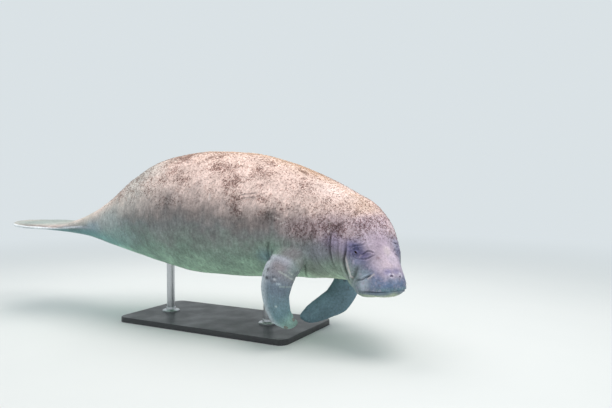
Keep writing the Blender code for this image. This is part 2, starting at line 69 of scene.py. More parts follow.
# Cross-sections along the straight body: distance from the tail tip, half width, height of
# the widest level, top, underside, and how square the section is above and below that level
STATIONS = (
    (0.00, 0.258, 0.008, 0.022, -0.008, 2.6, 2.6),
    (0.20, 0.256, -0.001, 0.018, -0.020, 2.6, 2.6),
    (0.40, 0.207, -0.014, 0.015, -0.035, 2.3, 2.3),
    (0.60, 0.173, 0.002, 0.084, -0.074, 2.0, 2.0),
    (0.80, 0.229, 0.025, 0.193, -0.128, 2.0, 2.0),
    (1.00, 0.302, 0.060, 0.329, -0.169, 2.0, 2.1),
    (1.25, 0.378, 0.085, 0.431, -0.214, 2.05, 2.2),
    (1.50, 0.405, 0.090, 0.458, -0.246, 2.1, 2.3),
    (1.75, 0.396, 0.085, 0.445, -0.246, 2.1, 2.3),
    (2.00, 0.352, 0.070, 0.390, -0.232, 2.1, 2.25),
    (2.20, 0.294, 0.045, 0.315, -0.224, 2.05, 2.2),
    (2.40, 0.227, 0.010, 0.232, -0.214, 2.0, 2.1),
    (2.50, 0.190, -0.023, 0.197, -0.206, 2.0, 2.1),
    (2.60, 0.160, -0.080, 0.133, -0.232, 2.0, 2.4),
    (2.65, 0.130, -0.122, 0.052, -0.260, 2.0, 3.0),
    (2.70, 0.104, -0.155, -0.016, -0.258, 2.1, 3.0),
    (2.77, 0.076, -0.183, -0.110, -0.247, 2.2, 3.0),
    (2.805, 0.066, -0.189, -0.148, -0.240, 2.3, 3.0),
)

# Pose: how far the tail and the head are turned from the middle of the body, between which
# stations, and the station above the origin
TAIL_TURN = math.radians(10.4)
HEAD_TURN = math.radians(-35.9)
TAIL_TURN_SPAN = (0.4, 1.5)
HEAD_TURN_SPAN = (2.0, 2.62)
STAND_STATION = 1.56

# Mounds on the skin: centre, reach along each axis, and height. They mirror across the body
MOUNDS = {
    "upper_lip": ((2.775, 0.060, -0.200), (0.055, 0.045, 0.035), 0.009),
    "lip_corner": ((2.690, 0.098, -0.212), (0.045, 0.045, 0.030), 0.009),
    "nostril": ((2.799, 0.025, -0.139), (0.018, 0.016, 0.016), 0.005),
    "brow": ((2.635, 0.105, -0.012), (0.040, 0.040, 0.022), 0.005),
    "eye_hollow": ((2.650, 0.116, -0.045), (0.026, 0.040, 0.022), -0.006),
    "shoulder": ((2.190, 0.270, -0.075), (0.110, 0.080, 0.090), 0.016),
    "lip_cleft": ((2.805, 0.000, -0.185), (0.030, 0.015, 0.030), -0.003),
    "armpit": ((2.070, 0.300, -0.135), (0.040, 0.060, 0.060), -0.010),
}

# Mouth: its corner, its front, and how far the lower lip stands back
MOUTH_CORNER_X, MOUTH_CORNER_Z = 2.645, -0.238
MOUTH_FRONT_X, MOUTH_FRONT_Z = 2.800, -0.219
LOWER_LIP_STEP = 0.007

# Eyes and nostrils, on the straight body
EYE_X, EYE_Z = 2.645, -0.043
EYE_RADIUS = 0.0105
NOSTRIL = (2.788, 0.027, -0.138)
NOSTRIL_SHIFT = 0.014

# Flippers, from inside the shoulder to the tip. Each row has a point on the middle line, with
# its height above the body's zero level, the way the broad face looks, half the breadth and
# half the thickness
RIGHT_FLIPPER = (
    ((0.579, -0.203, -0.043), (0.40, -0.85, 0.40), 0.086, 0.064),
    ((0.602, -0.295, -0.098), (0.40, -0.85, 0.30), 0.084, 0.056),
    ((0.594, -0.359, -0.154), (0.42, -0.88, 0.15), 0.081, 0.047),
    ((0.590, -0.387, -0.214), (0.45, -0.88, 0.05), 0.075, 0.038),
    ((0.588, -0.390, -0.272), (0.45, -0.88, -0.05), 0.066, 0.030),
    ((0.593, -0.379, -0.327), (0.45, -0.88, -0.10), 0.060, 0.024),
    ((0.604, -0.358, -0.372), (0.50, -0.85, -0.20), 0.053, 0.019),
    ((0.632, -0.327, -0.405), (0.50, -0.80, -0.25), 0.040, 0.015),
    ((0.662, -0.301, -0.408), (0.50, -0.80, -0.25), 0.024, 0.011),
)
LEFT_FLIPPER = (
    ((0.650, 0.190, -0.050), (0.10, 0.85, 0.40), 0.083, 0.062),
    ((0.675, 0.265, -0.135), (0.00, 0.90, 0.25), 0.080, 0.054),
    ((0.690, 0.258, -0.222), (-0.20, 0.90, 0.10), 0.077, 0.044),
    ((0.686, 0.218, -0.300), (-0.35, 0.88, 0.00), 0.078, 0.036),
    ((0.659, 0.167, -0.370), (-0.45, 0.85, -0.05), 0.081, 0.028),
    ((0.622, 0.112, -0.403), (-0.45, 0.85, -0.05), 0.073, 0.023),
    ((0.585, 0.067, -0.428), (-0.45, 0.85, -0.05), 0.063, 0.018),
    ((0.549, 0.027, -0.446), (-0.45, 0.85, -0.05), 0.050, 0.014),
    ((0.515, -0.012, -0.452), (-0.45, 0.85, -0.05), 0.030, 0.011),
)
FLIPPER_TIP_ROUND = 0.10
FLIPPER_ROOT_SHARE = 0.22
NAIL_HALF = (0.0095, 0.0045, 0.0130)
NAIL_SHARES = (-0.45, 0.0, 0.45)
NAIL_PLACE = 0.88

# Creases in the skin, drawn on the left side and mirrored: points as a station and the angle up
# from the widest level in degrees, then the depth, the half width and the rise beside it
CREASES = {
    "throat": (((2.598, 30), (2.607, 12), (2.602, -2), (2.608, -12), (2.619, -24), (2.628, -50), (2.632, -88)), 0.0120, 0.0065, 0.0050),
    "jaw": (((2.667, 13), (2.661, 2), (2.652, -5), (2.640, -14), (2.634, -26)), 0.0062, 0.0070, 0.0030),
    "neck": (((2.502, 30), (2.507, 8), (2.507, -3), (2.511, -13), (2.512, -26), (2.530, -60), (2.538, -88)), 0.0080, 0.0060, 0.0042),
    "neck_low": (((2.464, -33), (2.502, -38), (2.545, -36)), 0.0060, 0.0055, 0.0025),
    "neck_short": (((2.560, 14), (2.565, 2), (2.570, -6)), 0.0035, 0.0050, 0.0015),
    "nape": (((2.395, 24), (2.388, 5), (2.388, -20), (2.404, -50), (2.412, -85)), 0.0040, 0.0070, 0.0020),
    "flipper_front": (((2.305, -27), (2.283, -39), (2.247, -52), (2.190, -70), (2.180, -85)), 0.0070, 0.0065, 0.0030),
    "flipper_back": (((2.090, -8), (2.062, -24), (2.050, -44), (2.060, -62)), 0.0060, 0.0080, 0.0030),
    "cheek": (((2.656, -12), (2.670, -8), (2.690, -3), (2.708, 2), (2.724, 9), (2.737, 19)), 0.0062, 0.0040, 0.0030),
    "brow": (((2.620, 18), (2.635, 30), (2.646, 36), (2.657, 43), (2.669, 55)), 0.0026, 0.0038, 0.0016),
    "ahead_high": (((2.664, 27), (2.677, 38), (2.685, 47), (2.699, 55), (2.713, 60)), 0.0036, 0.0034, 0.0018),
    "ahead_low": (((2.662, 21), (2.685, 29), (2.700, 39), (2.709, 52), (2.715, 60)), 0.0030, 0.0034, 0.0015),
    "under_eye": (((2.628, 20), (2.642, 17), (2.655, 19), (2.668, 23)), 0.0022, 0.0028, 0.0012),
    "behind_eye": (((2.626, 20), (2.625, 13), (2.632, 6)), 0.0030, 0.0034, 0.0012),
    "behind_low": (((2.638, 13), (2.638, 8), (2.643, 2)), 0.0024, 0.0032, 0.0010),
    "lip_fold": (((2.700, -20), (2.735, -14), (2.765, -4), (2.785, 12)), 0.0016, 0.0045, 0.0008),
}

# The skin's mesh: size of its cells, how many points go round the body, and how many rings
# and points round go along each flipper
CELL = 0.0056
BODY_AROUND = 280
FLIPPER_RINGS, FLIPPER_AROUND = 90, 56

# Coat: how many tufts of algae, bristles and hairs there are
ALGAE_TUFTS = 21000
ALGAE_PIECES = 5
BLADES = 3
ALGAE_DEPTH = 0.004
BRISTLES = 150
HAIRS = 400
BAKE_PATCH = 0.003

# Camera: place, heading, pitch and focal length, which give the photograph's view
CAMERA_PLACE = (2.0789, -2.8581, 0.8384)
CAMERA_HEADING = math.radians(28.217)
CAMERA_PITCH = math.radians(-2.3)
SENSOR_WIDTH = 36.0
FOCAL_LENGTH = 35.29


def smooth_step(start, end, value):
    """0 before start, 1 after end, and an even rise between them."""
    share = np.clip((np.asarray(value, float) - start) / (end - start), 0, 1)
    return share * share * (3 - 2 * share)


def even_curve(stations, values, at):
    """A smooth curve through the stations that never overshoots them."""
    stations, values, at = (np.asarray(v, float) for v in (stations, values, at))
    width = np.diff(stations)
    rise = np.diff(values) / width
    slope = np.zeros_like(values)
    slope[0], slope[-1] = rise[0], rise[-1]
    for i in range(1, len(stations) - 1):
        if rise[i - 1] * rise[i] > 0:
            before, after = 2 * width[i] + width[i - 1], width[i] + 2 * width[i - 1]
            slope[i] = (before + after) / (before / rise[i - 1] + after / rise[i])
    k = np.clip(np.searchsorted(stations, at, side="right") - 1, 0, len(width) - 1)
    t = (at - stations[k]) / width[k]
    return (
        (2 * t**3 - 3 * t**2 + 1) * values[k]
        + (t**3 - 2 * t**2 + t) * width[k] * slope[k]
        + (3 * t**2 - 2 * t**3) * values[k + 1]
        + (t**3 - t**2) * width[k] * slope[k + 1]
    )


def smooth_path(points, count):
    """Points along a smooth curve through the given ones."""
    points = np.asarray(points, float)
    padded = np.vstack([2 * points[0] - points[1], points, 2 * points[-1] - points[-2]])
    made = []
    for value in np.linspace(0, len(points) - 1, count):
        k = min(int(value), len(points) - 2)
        t = value - k
        a, b, c, d = padded[k : k + 4]
        square, cube = 2 * a - 5 * b + 4 * c - d, 3 * b - a - 3 * c + d
        made.append(b + 0.5 * ((c - a) * t + square * t**2 + cube * t**3))
    return np.array(made)


def noise(points, size, seed=0):
    """Smooth random values from -1 to 1, whose bumps are about size across; size may be three sizes."""
    scaled = points / np.asarray(size, float) + seed * 7.31
    cell = np.floor(scaled).astype(np.int64)
    part = scaled - cell
    part = part * part * (3 - 2 * part)
    total = np.zeros(points.shape[:-1])
    for corner in np.ndindex(2, 2, 2):
        x, y, z = np.moveaxis(cell + corner, -1, 0)
        mixed = (x * 73856093) ^ (y * 19349663) ^ (z * 83492791) ^ (seed * 2654435)
        mixed = (mixed ^ (mixed >> 13)) * 1274126177
        value = ((mixed ^ (mixed >> 16)) & 0xFFFF) / 0x7FFF - 1
        weight = np.prod(np.where(corner, part, 1 - part), axis=-1)
        total += weight * value
    return total


def section_sizes(x):
    """Half width, widest level, height above and below it, and the two roundnesses, at station x."""
    columns = list(zip(*STATIONS))
    half_width, level, top, bottom, above, below = (even_curve(columns[0], c, x) for c in columns[1:])
    tip = np.sqrt(1 - np.clip(1 - x / TAIL_TIP_ROUND, 0, 1) ** 2)
    thin = np.sqrt(1 - np.clip(1 - x / TAIL_TIP_THIN, 0, 1) ** 2)
    past = np.clip((x - BODY_LENGTH + NOSE_ROUND) / NOSE_ROUND, 0, 1)
    nose = (1 - past**NOSE_BLUNTNESS) ** (1 / NOSE_BLUNTNESS)
    rise, drop = ((top - level) * thin * nose, (level - bottom) * thin * nose)
    return half_width * tip * nose, level, rise, drop, above, below


def plain_skin(x, angle):
    """Points of the straight body without its mounds. Angle 0 is the left flank and a quarter
    turn is the back."""
    half_width, level, rise, drop, above, below = section_sizes(x)
    across, up = np.cos(angle), np.sin(angle)
    power = 2 / np.where(up > 0, above, below)
    y = half_width * np.sign(across) * np.abs(across) ** power
    z = level + np.where(up > 0, rise, drop) * np.sign(up) * np.abs(up) ** power
    return np.stack([x, y, z], -1)


def outward(points):
    """The direction in which the skin's mounds rise: away from the spine, and forward at the nose."""
    level = section_sizes(np.clip(points[..., 0], 0, BODY_LENGTH))[1]
    ahead = np.clip(points[..., 0] - 2.70, 0, 1) * 0.9
    way = np.stack([ahead, points[..., 1], points[..., 2] - level], -1)
    return way / np.maximum(np.linalg.norm(way, axis=-1, keepdims=True), 1e-6)


def mouth_height(x):
    """The height of the mouth's line at station x."""
    return np.interp(x, (MOUTH_CORNER_X, MOUTH_FRONT_X), (MOUTH_CORNER_Z, MOUTH_FRONT_Z))


def mirrored(points):
    """Points of either side, brought to the left one."""
    return points * (1, 0, 1) + np.abs(points) * (0, 1, 0)


def mound_height(points):
    """How far the skin stands out at each point, from its mounds and the lower lip."""
    x, z = points[..., 0], points[..., 2]
    height = np.zeros(x.shape)
    for centre, reach, amount in MOUNDS.values():
        apart = ((mirrored(points) - centre) / reach) ** 2
        height += amount * np.exp(-apart.sum(-1))
    below_mouth = smooth_step(0.005, -0.005, z - mouth_height(x))
    past_corner = smooth_step(MOUTH_CORNER_X - 0.01, MOUTH_CORNER_X + 0.03, x)
    return height - LOWER_LIP_STEP * below_mouth * past_corner


def skin(x, angle):
    """Points of the straight body's skin."""
    points = plain_skin(x, angle)
    return points + outward(points) * mound_height(points)[..., None]


def spine(x):
    """Where station x of the spine is in plan, and its heading. It runs on straight past both ends."""
    fine = np.linspace(0, BODY_LENGTH, 569)
    turn = TAIL_TURN * (1 - smooth_step(*TAIL_TURN_SPAN, fine))
    turn += HEAD_TURN * smooth_step(*HEAD_TURN_SPAN, fine)
    path = []
    beyond = x - np.clip(x, 0, BODY_LENGTH)
    heading = np.interp(x, fine, turn)
    for run, on in ((np.cos(turn), np.cos(heading)), (np.sin(turn), np.sin(heading))):
        along = np.concatenate([[0], np.cumsum((run[1:] + run[:-1]) / 2 * fine[1])])
        path.append(np.interp(x, fine, along) - np.interp(STAND_STATION, fine, along) + beyond * on)
    return path[0], path[1], heading


def body_height():
    """The height of the straight body's zero level, from where the frame's torso reaches."""
    top = max(row[3] for row in STATIONS)
    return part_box("torso")[1].z - top


def posed(points):
    """Straight body points, turned along the spine and set over the stand."""
    points = np.asarray(points, float)
    x, y, turn = spine(points[..., 0])
    across, height = points[..., 1], points[..., 2] + SIZES["body_height"]
    return np.stack([x - np.sin(turn) * across, y + np.cos(turn) * across, height], -1)


def straight(points):
    """Where points of the turned animal lie on the straight body."""
    points = np.asarray(points, float)
    x = points[..., 0] + STAND_STATION
    for _ in range(14):
        sx, sy, turn = spine(x)
        x = x + (points[..., 0] - sx) * np.cos(turn) + (points[..., 1] - sy) * np.sin(turn)
    sx, sy, turn = spine(x)
    across = (points[..., 1] - sy) * np.cos(turn) - (points[..., 0] - sx) * np.sin(turn)
    return np.stack([x, across, points[..., 2] - SIZES["body_height"]], -1)


def height_angle(points):
    """The angle of straight body points up from the widest level, in degrees, the same on both sides."""
    half_width, level, rise, drop, _, _ = section_sizes(np.clip(points[..., 0], 0.01, BODY_LENGTH - 0.004))
    up = points[..., 2] - level
    up = up / np.maximum(np.where(up > 0, rise, drop), 1e-3)
    return np.degrees(np.arctan2(up, np.abs(points[..., 1]) / np.maximum(half_width, 1e-3)))


# Values worked out from the frame
SIZES = {}


# Mesh making


def mesh_object(name, points, faces, material):
    """A new smooth object from arrays of points and of faces that all have as many corners."""
    mesh = bpy.data.meshes.new(name)
    corners = faces.shape[1]
    mesh.vertices.add(len(points))
    mesh.vertices.foreach_set("co", np.asarray(points, np.float32).ravel())
    mesh.loops.add(faces.size)
    mesh.loops.foreach_set("vertex_index", np.asarray(faces, np.int32).ravel())
    mesh.polygons.add(len(faces))
    mesh.polygons.foreach_set("loop_start", np.arange(0, faces.size, corners, dtype=np.int32))
    mesh.update(calc_edges=True)
    mesh.shade_smooth()
    if material:
        mesh.materials.append(material)
    obj = bpy.data.objects.new(name, mesh)
    bpy.context.scene.collection.objects.link(obj)
    return obj


def grid_object(name, rings):
    """A closed object from rings of points, with a point in the middle of each end."""
    count, around = rings.shape[:2]
    points = np.vstack([rings.reshape(-1, 3), rings[0].mean(0), rings[-1].mean(0)])
    i, j = np.meshgrid(np.arange(count - 1), np.arange(around), indexing="ij")
    k = (j + 1) % around
    sides = np.stack([i * around + j, i * around + k, (i + 1) * around + k, (i + 1) * around + j], -1)
    halves = np.concatenate([sides[..., [0, 1, 2]], sides[..., [0, 2, 3]]]).reshape(-1, 3)
    j = np.arange(around)
    k = (j + 1) % around
    first = np.stack([np.full(around, count * around), k, j], -1)
    last = np.stack([np.full(around, count * around + 1), j + (count - 1) * around, k + (count - 1) * around], -1)
    obj = mesh_object(name, points, np.concatenate([halves, first, last]), None)
    shape = bmesh.new()
    shape.from_mesh(obj.data)
    bmesh.ops.recalc_face_normals(shape, faces=shape.faces)
    shape.to_mesh(obj.data)
    shape.free()
    return obj


def points_of(mesh):
    points = np.empty(len(mesh.vertices) * 3, np.float32)
    mesh.vertices.foreach_get("co", points)
    return points.reshape(-1, 3).astype(float)


def normals_of(mesh):
    normals = np.empty(len(mesh.vertices) * 3, np.float32)
    mesh.vertex_normals.foreach_get("vector", normals)
    return normals.reshape(-1, 3).astype(float)


def set_points(mesh, points):
    mesh.vertices.foreach_set("co", np.asarray(points, np.float32).ravel())
    mesh.update()


def edges_of(mesh):
    edges = np.empty(len(mesh.edges) * 2, np.int32)
    mesh.edges.foreach_get("vertices", edges)
    return edges.reshape(-1, 2)


def relaxed(points, edges, weight, rounds, keep_size=True):
    """Points moved towards the middle of their neighbours by their weight. With keep_size each
    round also moves them back a little, which smooths without shrinking."""
    count = np.maximum(np.bincount(edges.ravel(), minlength=len(points)), 1)[:, None]
    steps = (1.0, -1.02) if keep_size else (1.0,)
    for _ in range(rounds):
        for step in steps:
            middle = np.empty_like(points)
            for axis in range(3):
                near = np.bincount(edges[:, 0], points[edges[:, 1], axis], len(points))
                near += np.bincount(edges[:, 1], points[edges[:, 0], axis], len(points))
                middle[:, axis] = near
            points = points + step * weight[:, None] * (middle / count - points)
    return points


def refine(mesh, chosen):
    """Splits the edges whose two ends are chosen, and smooths what was split."""
    points = points_of(mesh)
    mask = chosen(straight(points))
    shape = bmesh.new()
    shape.from_mesh(mesh)
    edges = [e for e in shape.edges if mask[e.verts[0].index] and mask[e.verts[1].index]]
    bmesh.ops.subdivide_edges(shape, edges=edges, cuts=1, use_grid_fill=True)
    shape.to_mesh(mesh)
    shape.free()
    points = points_of(mesh)
    weight = 0.5 * chosen(straight(points)).astype(float)
    set_points(mesh, relaxed(points, edges_of(mesh), weight, 4))


# Flippers


def flipper_frames(limb, count):
    """Along a flipper: its middle, the way along it, the way its face looks, its broad way, half
    its breadth and half its thickness."""
    points, faces, breadths, thicknesses = zip(*limb)
    fine = smooth_path(points, 241) + (0, 0, SIZES["body_height"])
    run = np.concatenate([[0], np.cumsum(np.linalg.norm(np.diff(fine, axis=0), axis=1))])
    share = 1 - (1 - np.linspace(0, 1, count)) ** 1.4
    knots = np.interp(np.linspace(0, 240, len(points)), np.arange(241), run / run[-1])
    at = np.stack([np.interp(share, run / run[-1], column) for column in fine.T], -1)
    along = np.gradient(at, axis=0)
    along /= np.linalg.norm(along, axis=1, keepdims=True)
    face = np.stack([even_curve(knots, column, share) for column in zip(*faces)], -1)
    face -= along * (face * along).sum(1, keepdims=True)
    face /= np.linalg.norm(face, axis=1, keepdims=True)
    past = np.clip((share - 1 + FLIPPER_TIP_ROUND) / FLIPPER_TIP_ROUND, 0, 1)
    tip = np.sqrt(1 - 0.995 * past**2.2)
    breadth = even_curve(knots, breadths, share) * tip
    thickness = even_curve(knots, thicknesses, share) * np.sqrt(tip)
    return at, along, face, np.cross(face, along), breadth, thickness


def flipper_shell(name, limb):
    at, _, face, lead, breadth, thickness = flipper_frames(limb, FLIPPER_RINGS)
    turns = np.linspace(0, 2 * math.pi, FLIPPER_AROUND, endpoint=False)
    across = breadth[:, None] * np.cos(turns)
    out = thickness[:, None] * np.sin(turns) * (1 + 0.25 * np.cos(turns))
    return grid_object(name, at[:, None] + lead[:, None] * across[..., None] + face[:, None] * out[..., None])


def limb_places(points, limb):
    """For each point: its share along the flipper, its distances from the middle line along the
    broad way and the face, in half breadths and half thicknesses, and how much it belongs to it."""
    at, _, face, lead, breadth, thickness = flipper_frames(limb, 200)
    run = np.concatenate([[0], np.cumsum(np.linalg.norm(np.diff(at, axis=0), axis=1))])
    share = np.zeros(len(points))
    broad = np.full(len(points), 9.0)
    deep = np.full(len(points), 9.0)
    low, high = at.min(0) - 0.12, at.max(0) + 0.12
    near = np.flatnonzero(((points > low) & (points < high)).all(1))
    apart = np.linalg.norm(points[near, None] - at[None], axis=2)
    k = apart.argmin(1)
    offset = points[near] - at[k]
    share[near] = run[k] / run[-1]
    broad[near] = (offset * lead[k]).sum(1) / breadth[k]
    deep[near] = (offset * face[k]).sum(1) / thickness[k]
    within = smooth_step(1.9, 1.3, np.hypot(broad, deep))
    belongs = within * smooth_step(0.10, 0.20, share) * smooth_step(1.05, 1.24, body_measure(straight(points)))
    return share, broad, deep, belongs


# Skin


def body_shell():
    """The whole body as one closed fine grid."""
    tail = TAIL_TIP_ROUND * np.linspace(0.02, 1, 60) ** 2
    middle = np.linspace(TAIL_TIP_ROUND, BODY_LENGTH - NOSE_ROUND, 340)[1:-1]
    nose = BODY_LENGTH - NOSE_ROUND * np.linspace(1, 0.02, 40) ** 2
    stations = np.concatenate([tail, middle, nose])
    angles = np.linspace(0, 2 * math.pi, BODY_AROUND, endpoint=False)
    grid_x, grid_a = np.meshgrid(stations, angles, indexing="ij")
    return grid_object("skin", posed(skin(grid_x, grid_a)))


def fused(obj, others):
    """The objects made one closed surface of even cells."""
    others = [flipper for flipper in others]
    with bpy.context.temp_override(active_object=obj, selected_editable_objects=[obj, *others]):
        bpy.ops.object.join()
    modifier = obj.modifiers.new("even", "REMESH")
    modifier.mode = "VOXEL"
    modifier.voxel_size = CELL
    graph = bpy.context.evaluated_depsgraph_get()
    made = bpy.data.meshes.new_from_object(obj.evaluated_get(graph))
    obj.modifiers.clear()
    obj.data = made
    return obj


def smooth_roots(mesh):
    """Takes the cells' steps out of the whole skin, and rounds off where the flippers grow out."""
    points, edges = points_of(mesh), edges_of(mesh)
    points = relaxed(points, edges, np.full(len(points), 0.5), 4)
    for limb in (RIGHT_FLIPPER, LEFT_FLIPPER):
        at = flipper_frames(limb, 200)[0]
        run = np.linspace(0, 1, 200)
        root = at[np.searchsorted(run, FLIPPER_ROOT_SHARE)]
        weight = 0.5 * smooth_step(0.16, 0.09, np.linalg.norm(points - root, axis=1))
        points = relaxed(points, edges, weight, 8, keep_size=False)
    set_points(mesh, points)


def body_measure(places):
    """How far out straight body places are: below 1 inside the plain body, and 1 on its skin."""
    half_width, level, rise, drop, above, below = section_sizes(np.clip(places[..., 0], 0.01, BODY_LENGTH - 0.004))
    up = places[..., 2] - level
    power = np.where(up > 0, above, below)
    height = np.where(up > 0, rise, drop)
    return (np.abs(places[..., 1]) / half_width) ** power + (np.abs(up) / height) ** power


def root_line(limb):
    """The closed line round a flipper where it comes out of the body, on the straight body."""
    at, _, face, lead, breadth, thickness = flipper_frames(limb, 160)
    turns = np.linspace(0, 2 * math.pi, 120)
    across = breadth[:, None] * np.cos(turns)
    out = thickness[:, None] * np.sin(turns) * (1 + 0.25 * np.cos(turns))
    places = straight(at[:, None] + lead[:, None] * across[..., None] + face[:, None] * out[..., None])
    inside = body_measure(places) < 1
    inside[90:] = False
    last = len(at) - 1 - np.argmax(inside[::-1], axis=0)
    return places[np.where(inside.any(0), last, 0), np.arange(len(turns))]


def root_creases(places):
    """The grooves round the flippers' roots, deepest behind them, and the painted shadow in them at each place."""
    height = np.zeros(len(places))
    shade = np.zeros(len(places))
    for limb in (RIGHT_FLIPPER, LEFT_FLIPPER):
        line = root_line(limb)
        distance, _ = line_distance(places, line)
        behind = smooth_step(0.01, -0.07, places[:, 0] - line[:, 0].mean())
        across = distance / (0.007 + 0.006 * behind)
        low = smooth_step(-0.03, -0.10, places[:, 2])
        height += low * (0.003 * np.exp(-((across - 2.3) ** 2)) - (0.003 + 0.004 * behind) * np.exp(-(across**2)))
        # Painted shadow in the crease, strongest behind the flipper
        shade += low * (0.05 + 0.15 * behind) * np.exp(-((distance / 0.014) ** 2))
    return height, np.clip(shade, 0, 1)


def on_head(place):
    return place[:, 0] > 2.50


def on_flippers(place):
    points = posed(place)
    return sum(limb_places(points, limb)[3] for limb in (RIGHT_FLIPPER, LEFT_FLIPPER)) > 0.2


def on_face(place):
    eye = np.linalg.norm(mirrored(place) - (EYE_X, 0.116, EYE_Z), axis=1) < 0.065
    return (place[:, 0] > 2.69) | eye


def on_features(place):
    side = mirrored(place)
    eye = np.linalg.norm(side - (EYE_X, 0.116, EYE_Z), axis=1) < 0.026
    nostril = np.linalg.norm(side - NOSTRIL, axis=1) < 0.026
    mouth = (np.abs(place[:, 2] - mouth_height(place[:, 0])) < 0.010) & (place[:, 0] > MOUTH_CORNER_X - 0.02)
    return eye | nostril | mouth


def crease_path(points, side=1):
    """A crease's line on the straight body, from stations and angles in degrees."""
    fine = smooth_path(points, 60)
    return skin(fine[:, 0], np.radians(fine[:, 1])) * (1, side, 1)


def line_distance(places, path):
    """Each place's distance from a line, and its share along it. Far places get a large distance."""
    distance = np.full(len(places), 9.0)
    share = np.zeros(len(places))
    near = np.flatnonzero(((places > path.min(0) - 0.05) & (places < path.max(0) + 0.05)).all(1))
    nearest = np.linalg.norm(places[near, None] - path[None], axis=2).argmin(1)
    for first in (nearest - 1, nearest):
        first = np.clip(first, 0, len(path) - 2)
        start, piece = path[first], path[first + 1] - path[first]
        offset = places[near] - start
        along = np.clip((offset * piece).sum(1) / np.maximum((piece**2).sum(1), 1e-12), 0, 1)
        apart = np.linalg.norm(offset - piece * along[:, None], axis=1)
        closer = apart < distance[near]
        distance[near[closer]] = apart[closer]
        share[near[closer]] = ((first + along) / (len(path) - 1))[closer]
    return distance, share


def crease_height(places):
    """The grooves of all creases, with the skin risen beside them."""
    height = np.zeros(len(places))
    side = mirrored(places)
    for points, depth, half_width, rise in CREASES.values():
        distance, share = line_distance(side, crease_path(points))
        ends = smooth_step(0, 0.22, share)
        if points[-1][1] > -80:
            ends = ends * smooth_step(1, 0.74, share)
        wobble = 1 + 0.25 * noise(places, 0.03, seed=4)
        across = distance / (half_width * wobble)
        height += ends * (rise * np.exp(-((across - 2.3) ** 2)) - depth * np.exp(-(across**2)))
    return height


def mouth_line():
    """The line between the lips, from one corner round the front to the other, on the straight body."""
    points = []
    for step in np.linspace(-1, 1, 101):
        turn = math.copysign(math.pi / 2 * (1 - (1 - abs(step)) ** 2), step)
        x = MOUTH_CORNER_X + (BODY_LENGTH - 0.004 - MOUTH_CORNER_X) * math.cos(turn) ** 0.55
        ring = skin(np.full(1441, x), np.linspace(-math.pi, math.pi, 1441))
        guide = np.array((x, 0.12 * math.sin(turn), float(mouth_height(x))))
        points.append(ring[int(np.argmin(np.linalg.norm(ring - guide, axis=1)))])
    return np.array(points)


def mouth_groove(places):
    """The depth of the mouth's line, with a full lip above it."""
    distance, share = line_distance(places, mouth_line())
    ends = smooth_step(0, 0.20, share) * smooth_step(1, 0.80, share)
    at_front = smooth_step(2.74, 2.80, places[:, 0])
    lips = 0.0012 * (1 - at_front) * np.exp(-(((distance - 0.010) / 0.0065) ** 2))
    return ends * (lips - (0.0085 - 0.0025 * at_front) * np.exp(-((distance / 0.0034) ** 2)))


def wrinkle_height(places, limbs):
    """Fine unevenness: soft lumps everywhere, upright wrinkles on the neck and flanks, ripples
    along the tail and wrinkles across the flippers."""
    x = places[:, 0]
    lumps = 0.0022 * noise(places, 0.16, 1) + 0.0012 * noise(places, 0.055, 2) + 0.0005 * noise(places, 0.02, 3)
    upright = 1 - np.abs(noise(places, (0.016, 0.09, 0.075), 5))
    near_neck = np.exp(-(((x - 2.48) / 0.16) ** 2)) + 0.5 * np.exp(-(((x - 0.85) / 0.25) ** 2)) + 0.22
    height = lumps + 0.0011 * near_neck * (upright - 0.6)
    lengthwise = 1 - np.abs(noise(places, (0.20, 0.013, 0.05), 6))
    height += 0.0010 * smooth_step(0.62, 0.35, x) * (lengthwise - 0.6)
    crossed = 1 - np.abs(noise(places, (0.012, 0.03, 0.012), 7))
    height += 0.0009 * smooth_step(2.60, 2.68, x) * (crossed - 0.6)
    body = np.ones(len(places))
    for share, broad, _, belongs in limbs:
        local = np.stack([share * 0.45, broad * 0.07, places[:, 1] * 0], -1)
        bands = 1 - np.abs(noise(local, (0.011, 0.06, 1.0), 8))
        near_root = 1 + 1.5 * smooth_step(0.50, 0.35, share)
        height += 0.0014 * belongs * near_root * (bands - 0.6) * smooth_step(1.0, 0.4, share)
        body -= belongs
    return height


def eye_frames():
    """Each eye's side, centre, forward way, upward way and outward way, from the frame's eyes."""
    frames = []
    for node, side in (("eye_right", -1), ("eye_left", 1)):
        low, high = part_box(node)
        centre = np.array((low + high) / 2)
        place = straight(centre)
        angles = np.linspace(-math.pi / 2, math.pi / 2, 721)
        ring = skin(np.full_like(angles, place[0]), angles)
        k = int(np.argmin(np.abs(ring[:, 2] - EYE_Z)))
        near = [skin(np.array([place[0] + dx]), np.array([angles[k] + da]))[0] for dx, da in ((0.004, 0), (-0.004, 0), (0, 0.04), (0, -0.04))]
        near = posed(np.array(near) * (1, side, 1))
        out = np.cross(near[0] - near[1], near[2] - near[3])
        out *= np.sign(out @ (near.mean(0) - posed(np.array((place[0], 0, place[2]))))) / np.linalg.norm(out)
        ahead = near[0] - near[1]
        ahead -= out * (ahead @ out)
        ahead /= np.linalg.norm(ahead)
        frames.append((side, centre, ahead, np.cross(ahead, out) * side, out))
    return frames


LID_REACH = EYE_RADIUS + 0.0016
OPENING_LONG, OPENING_HIGH = 0.0078, 0.0044


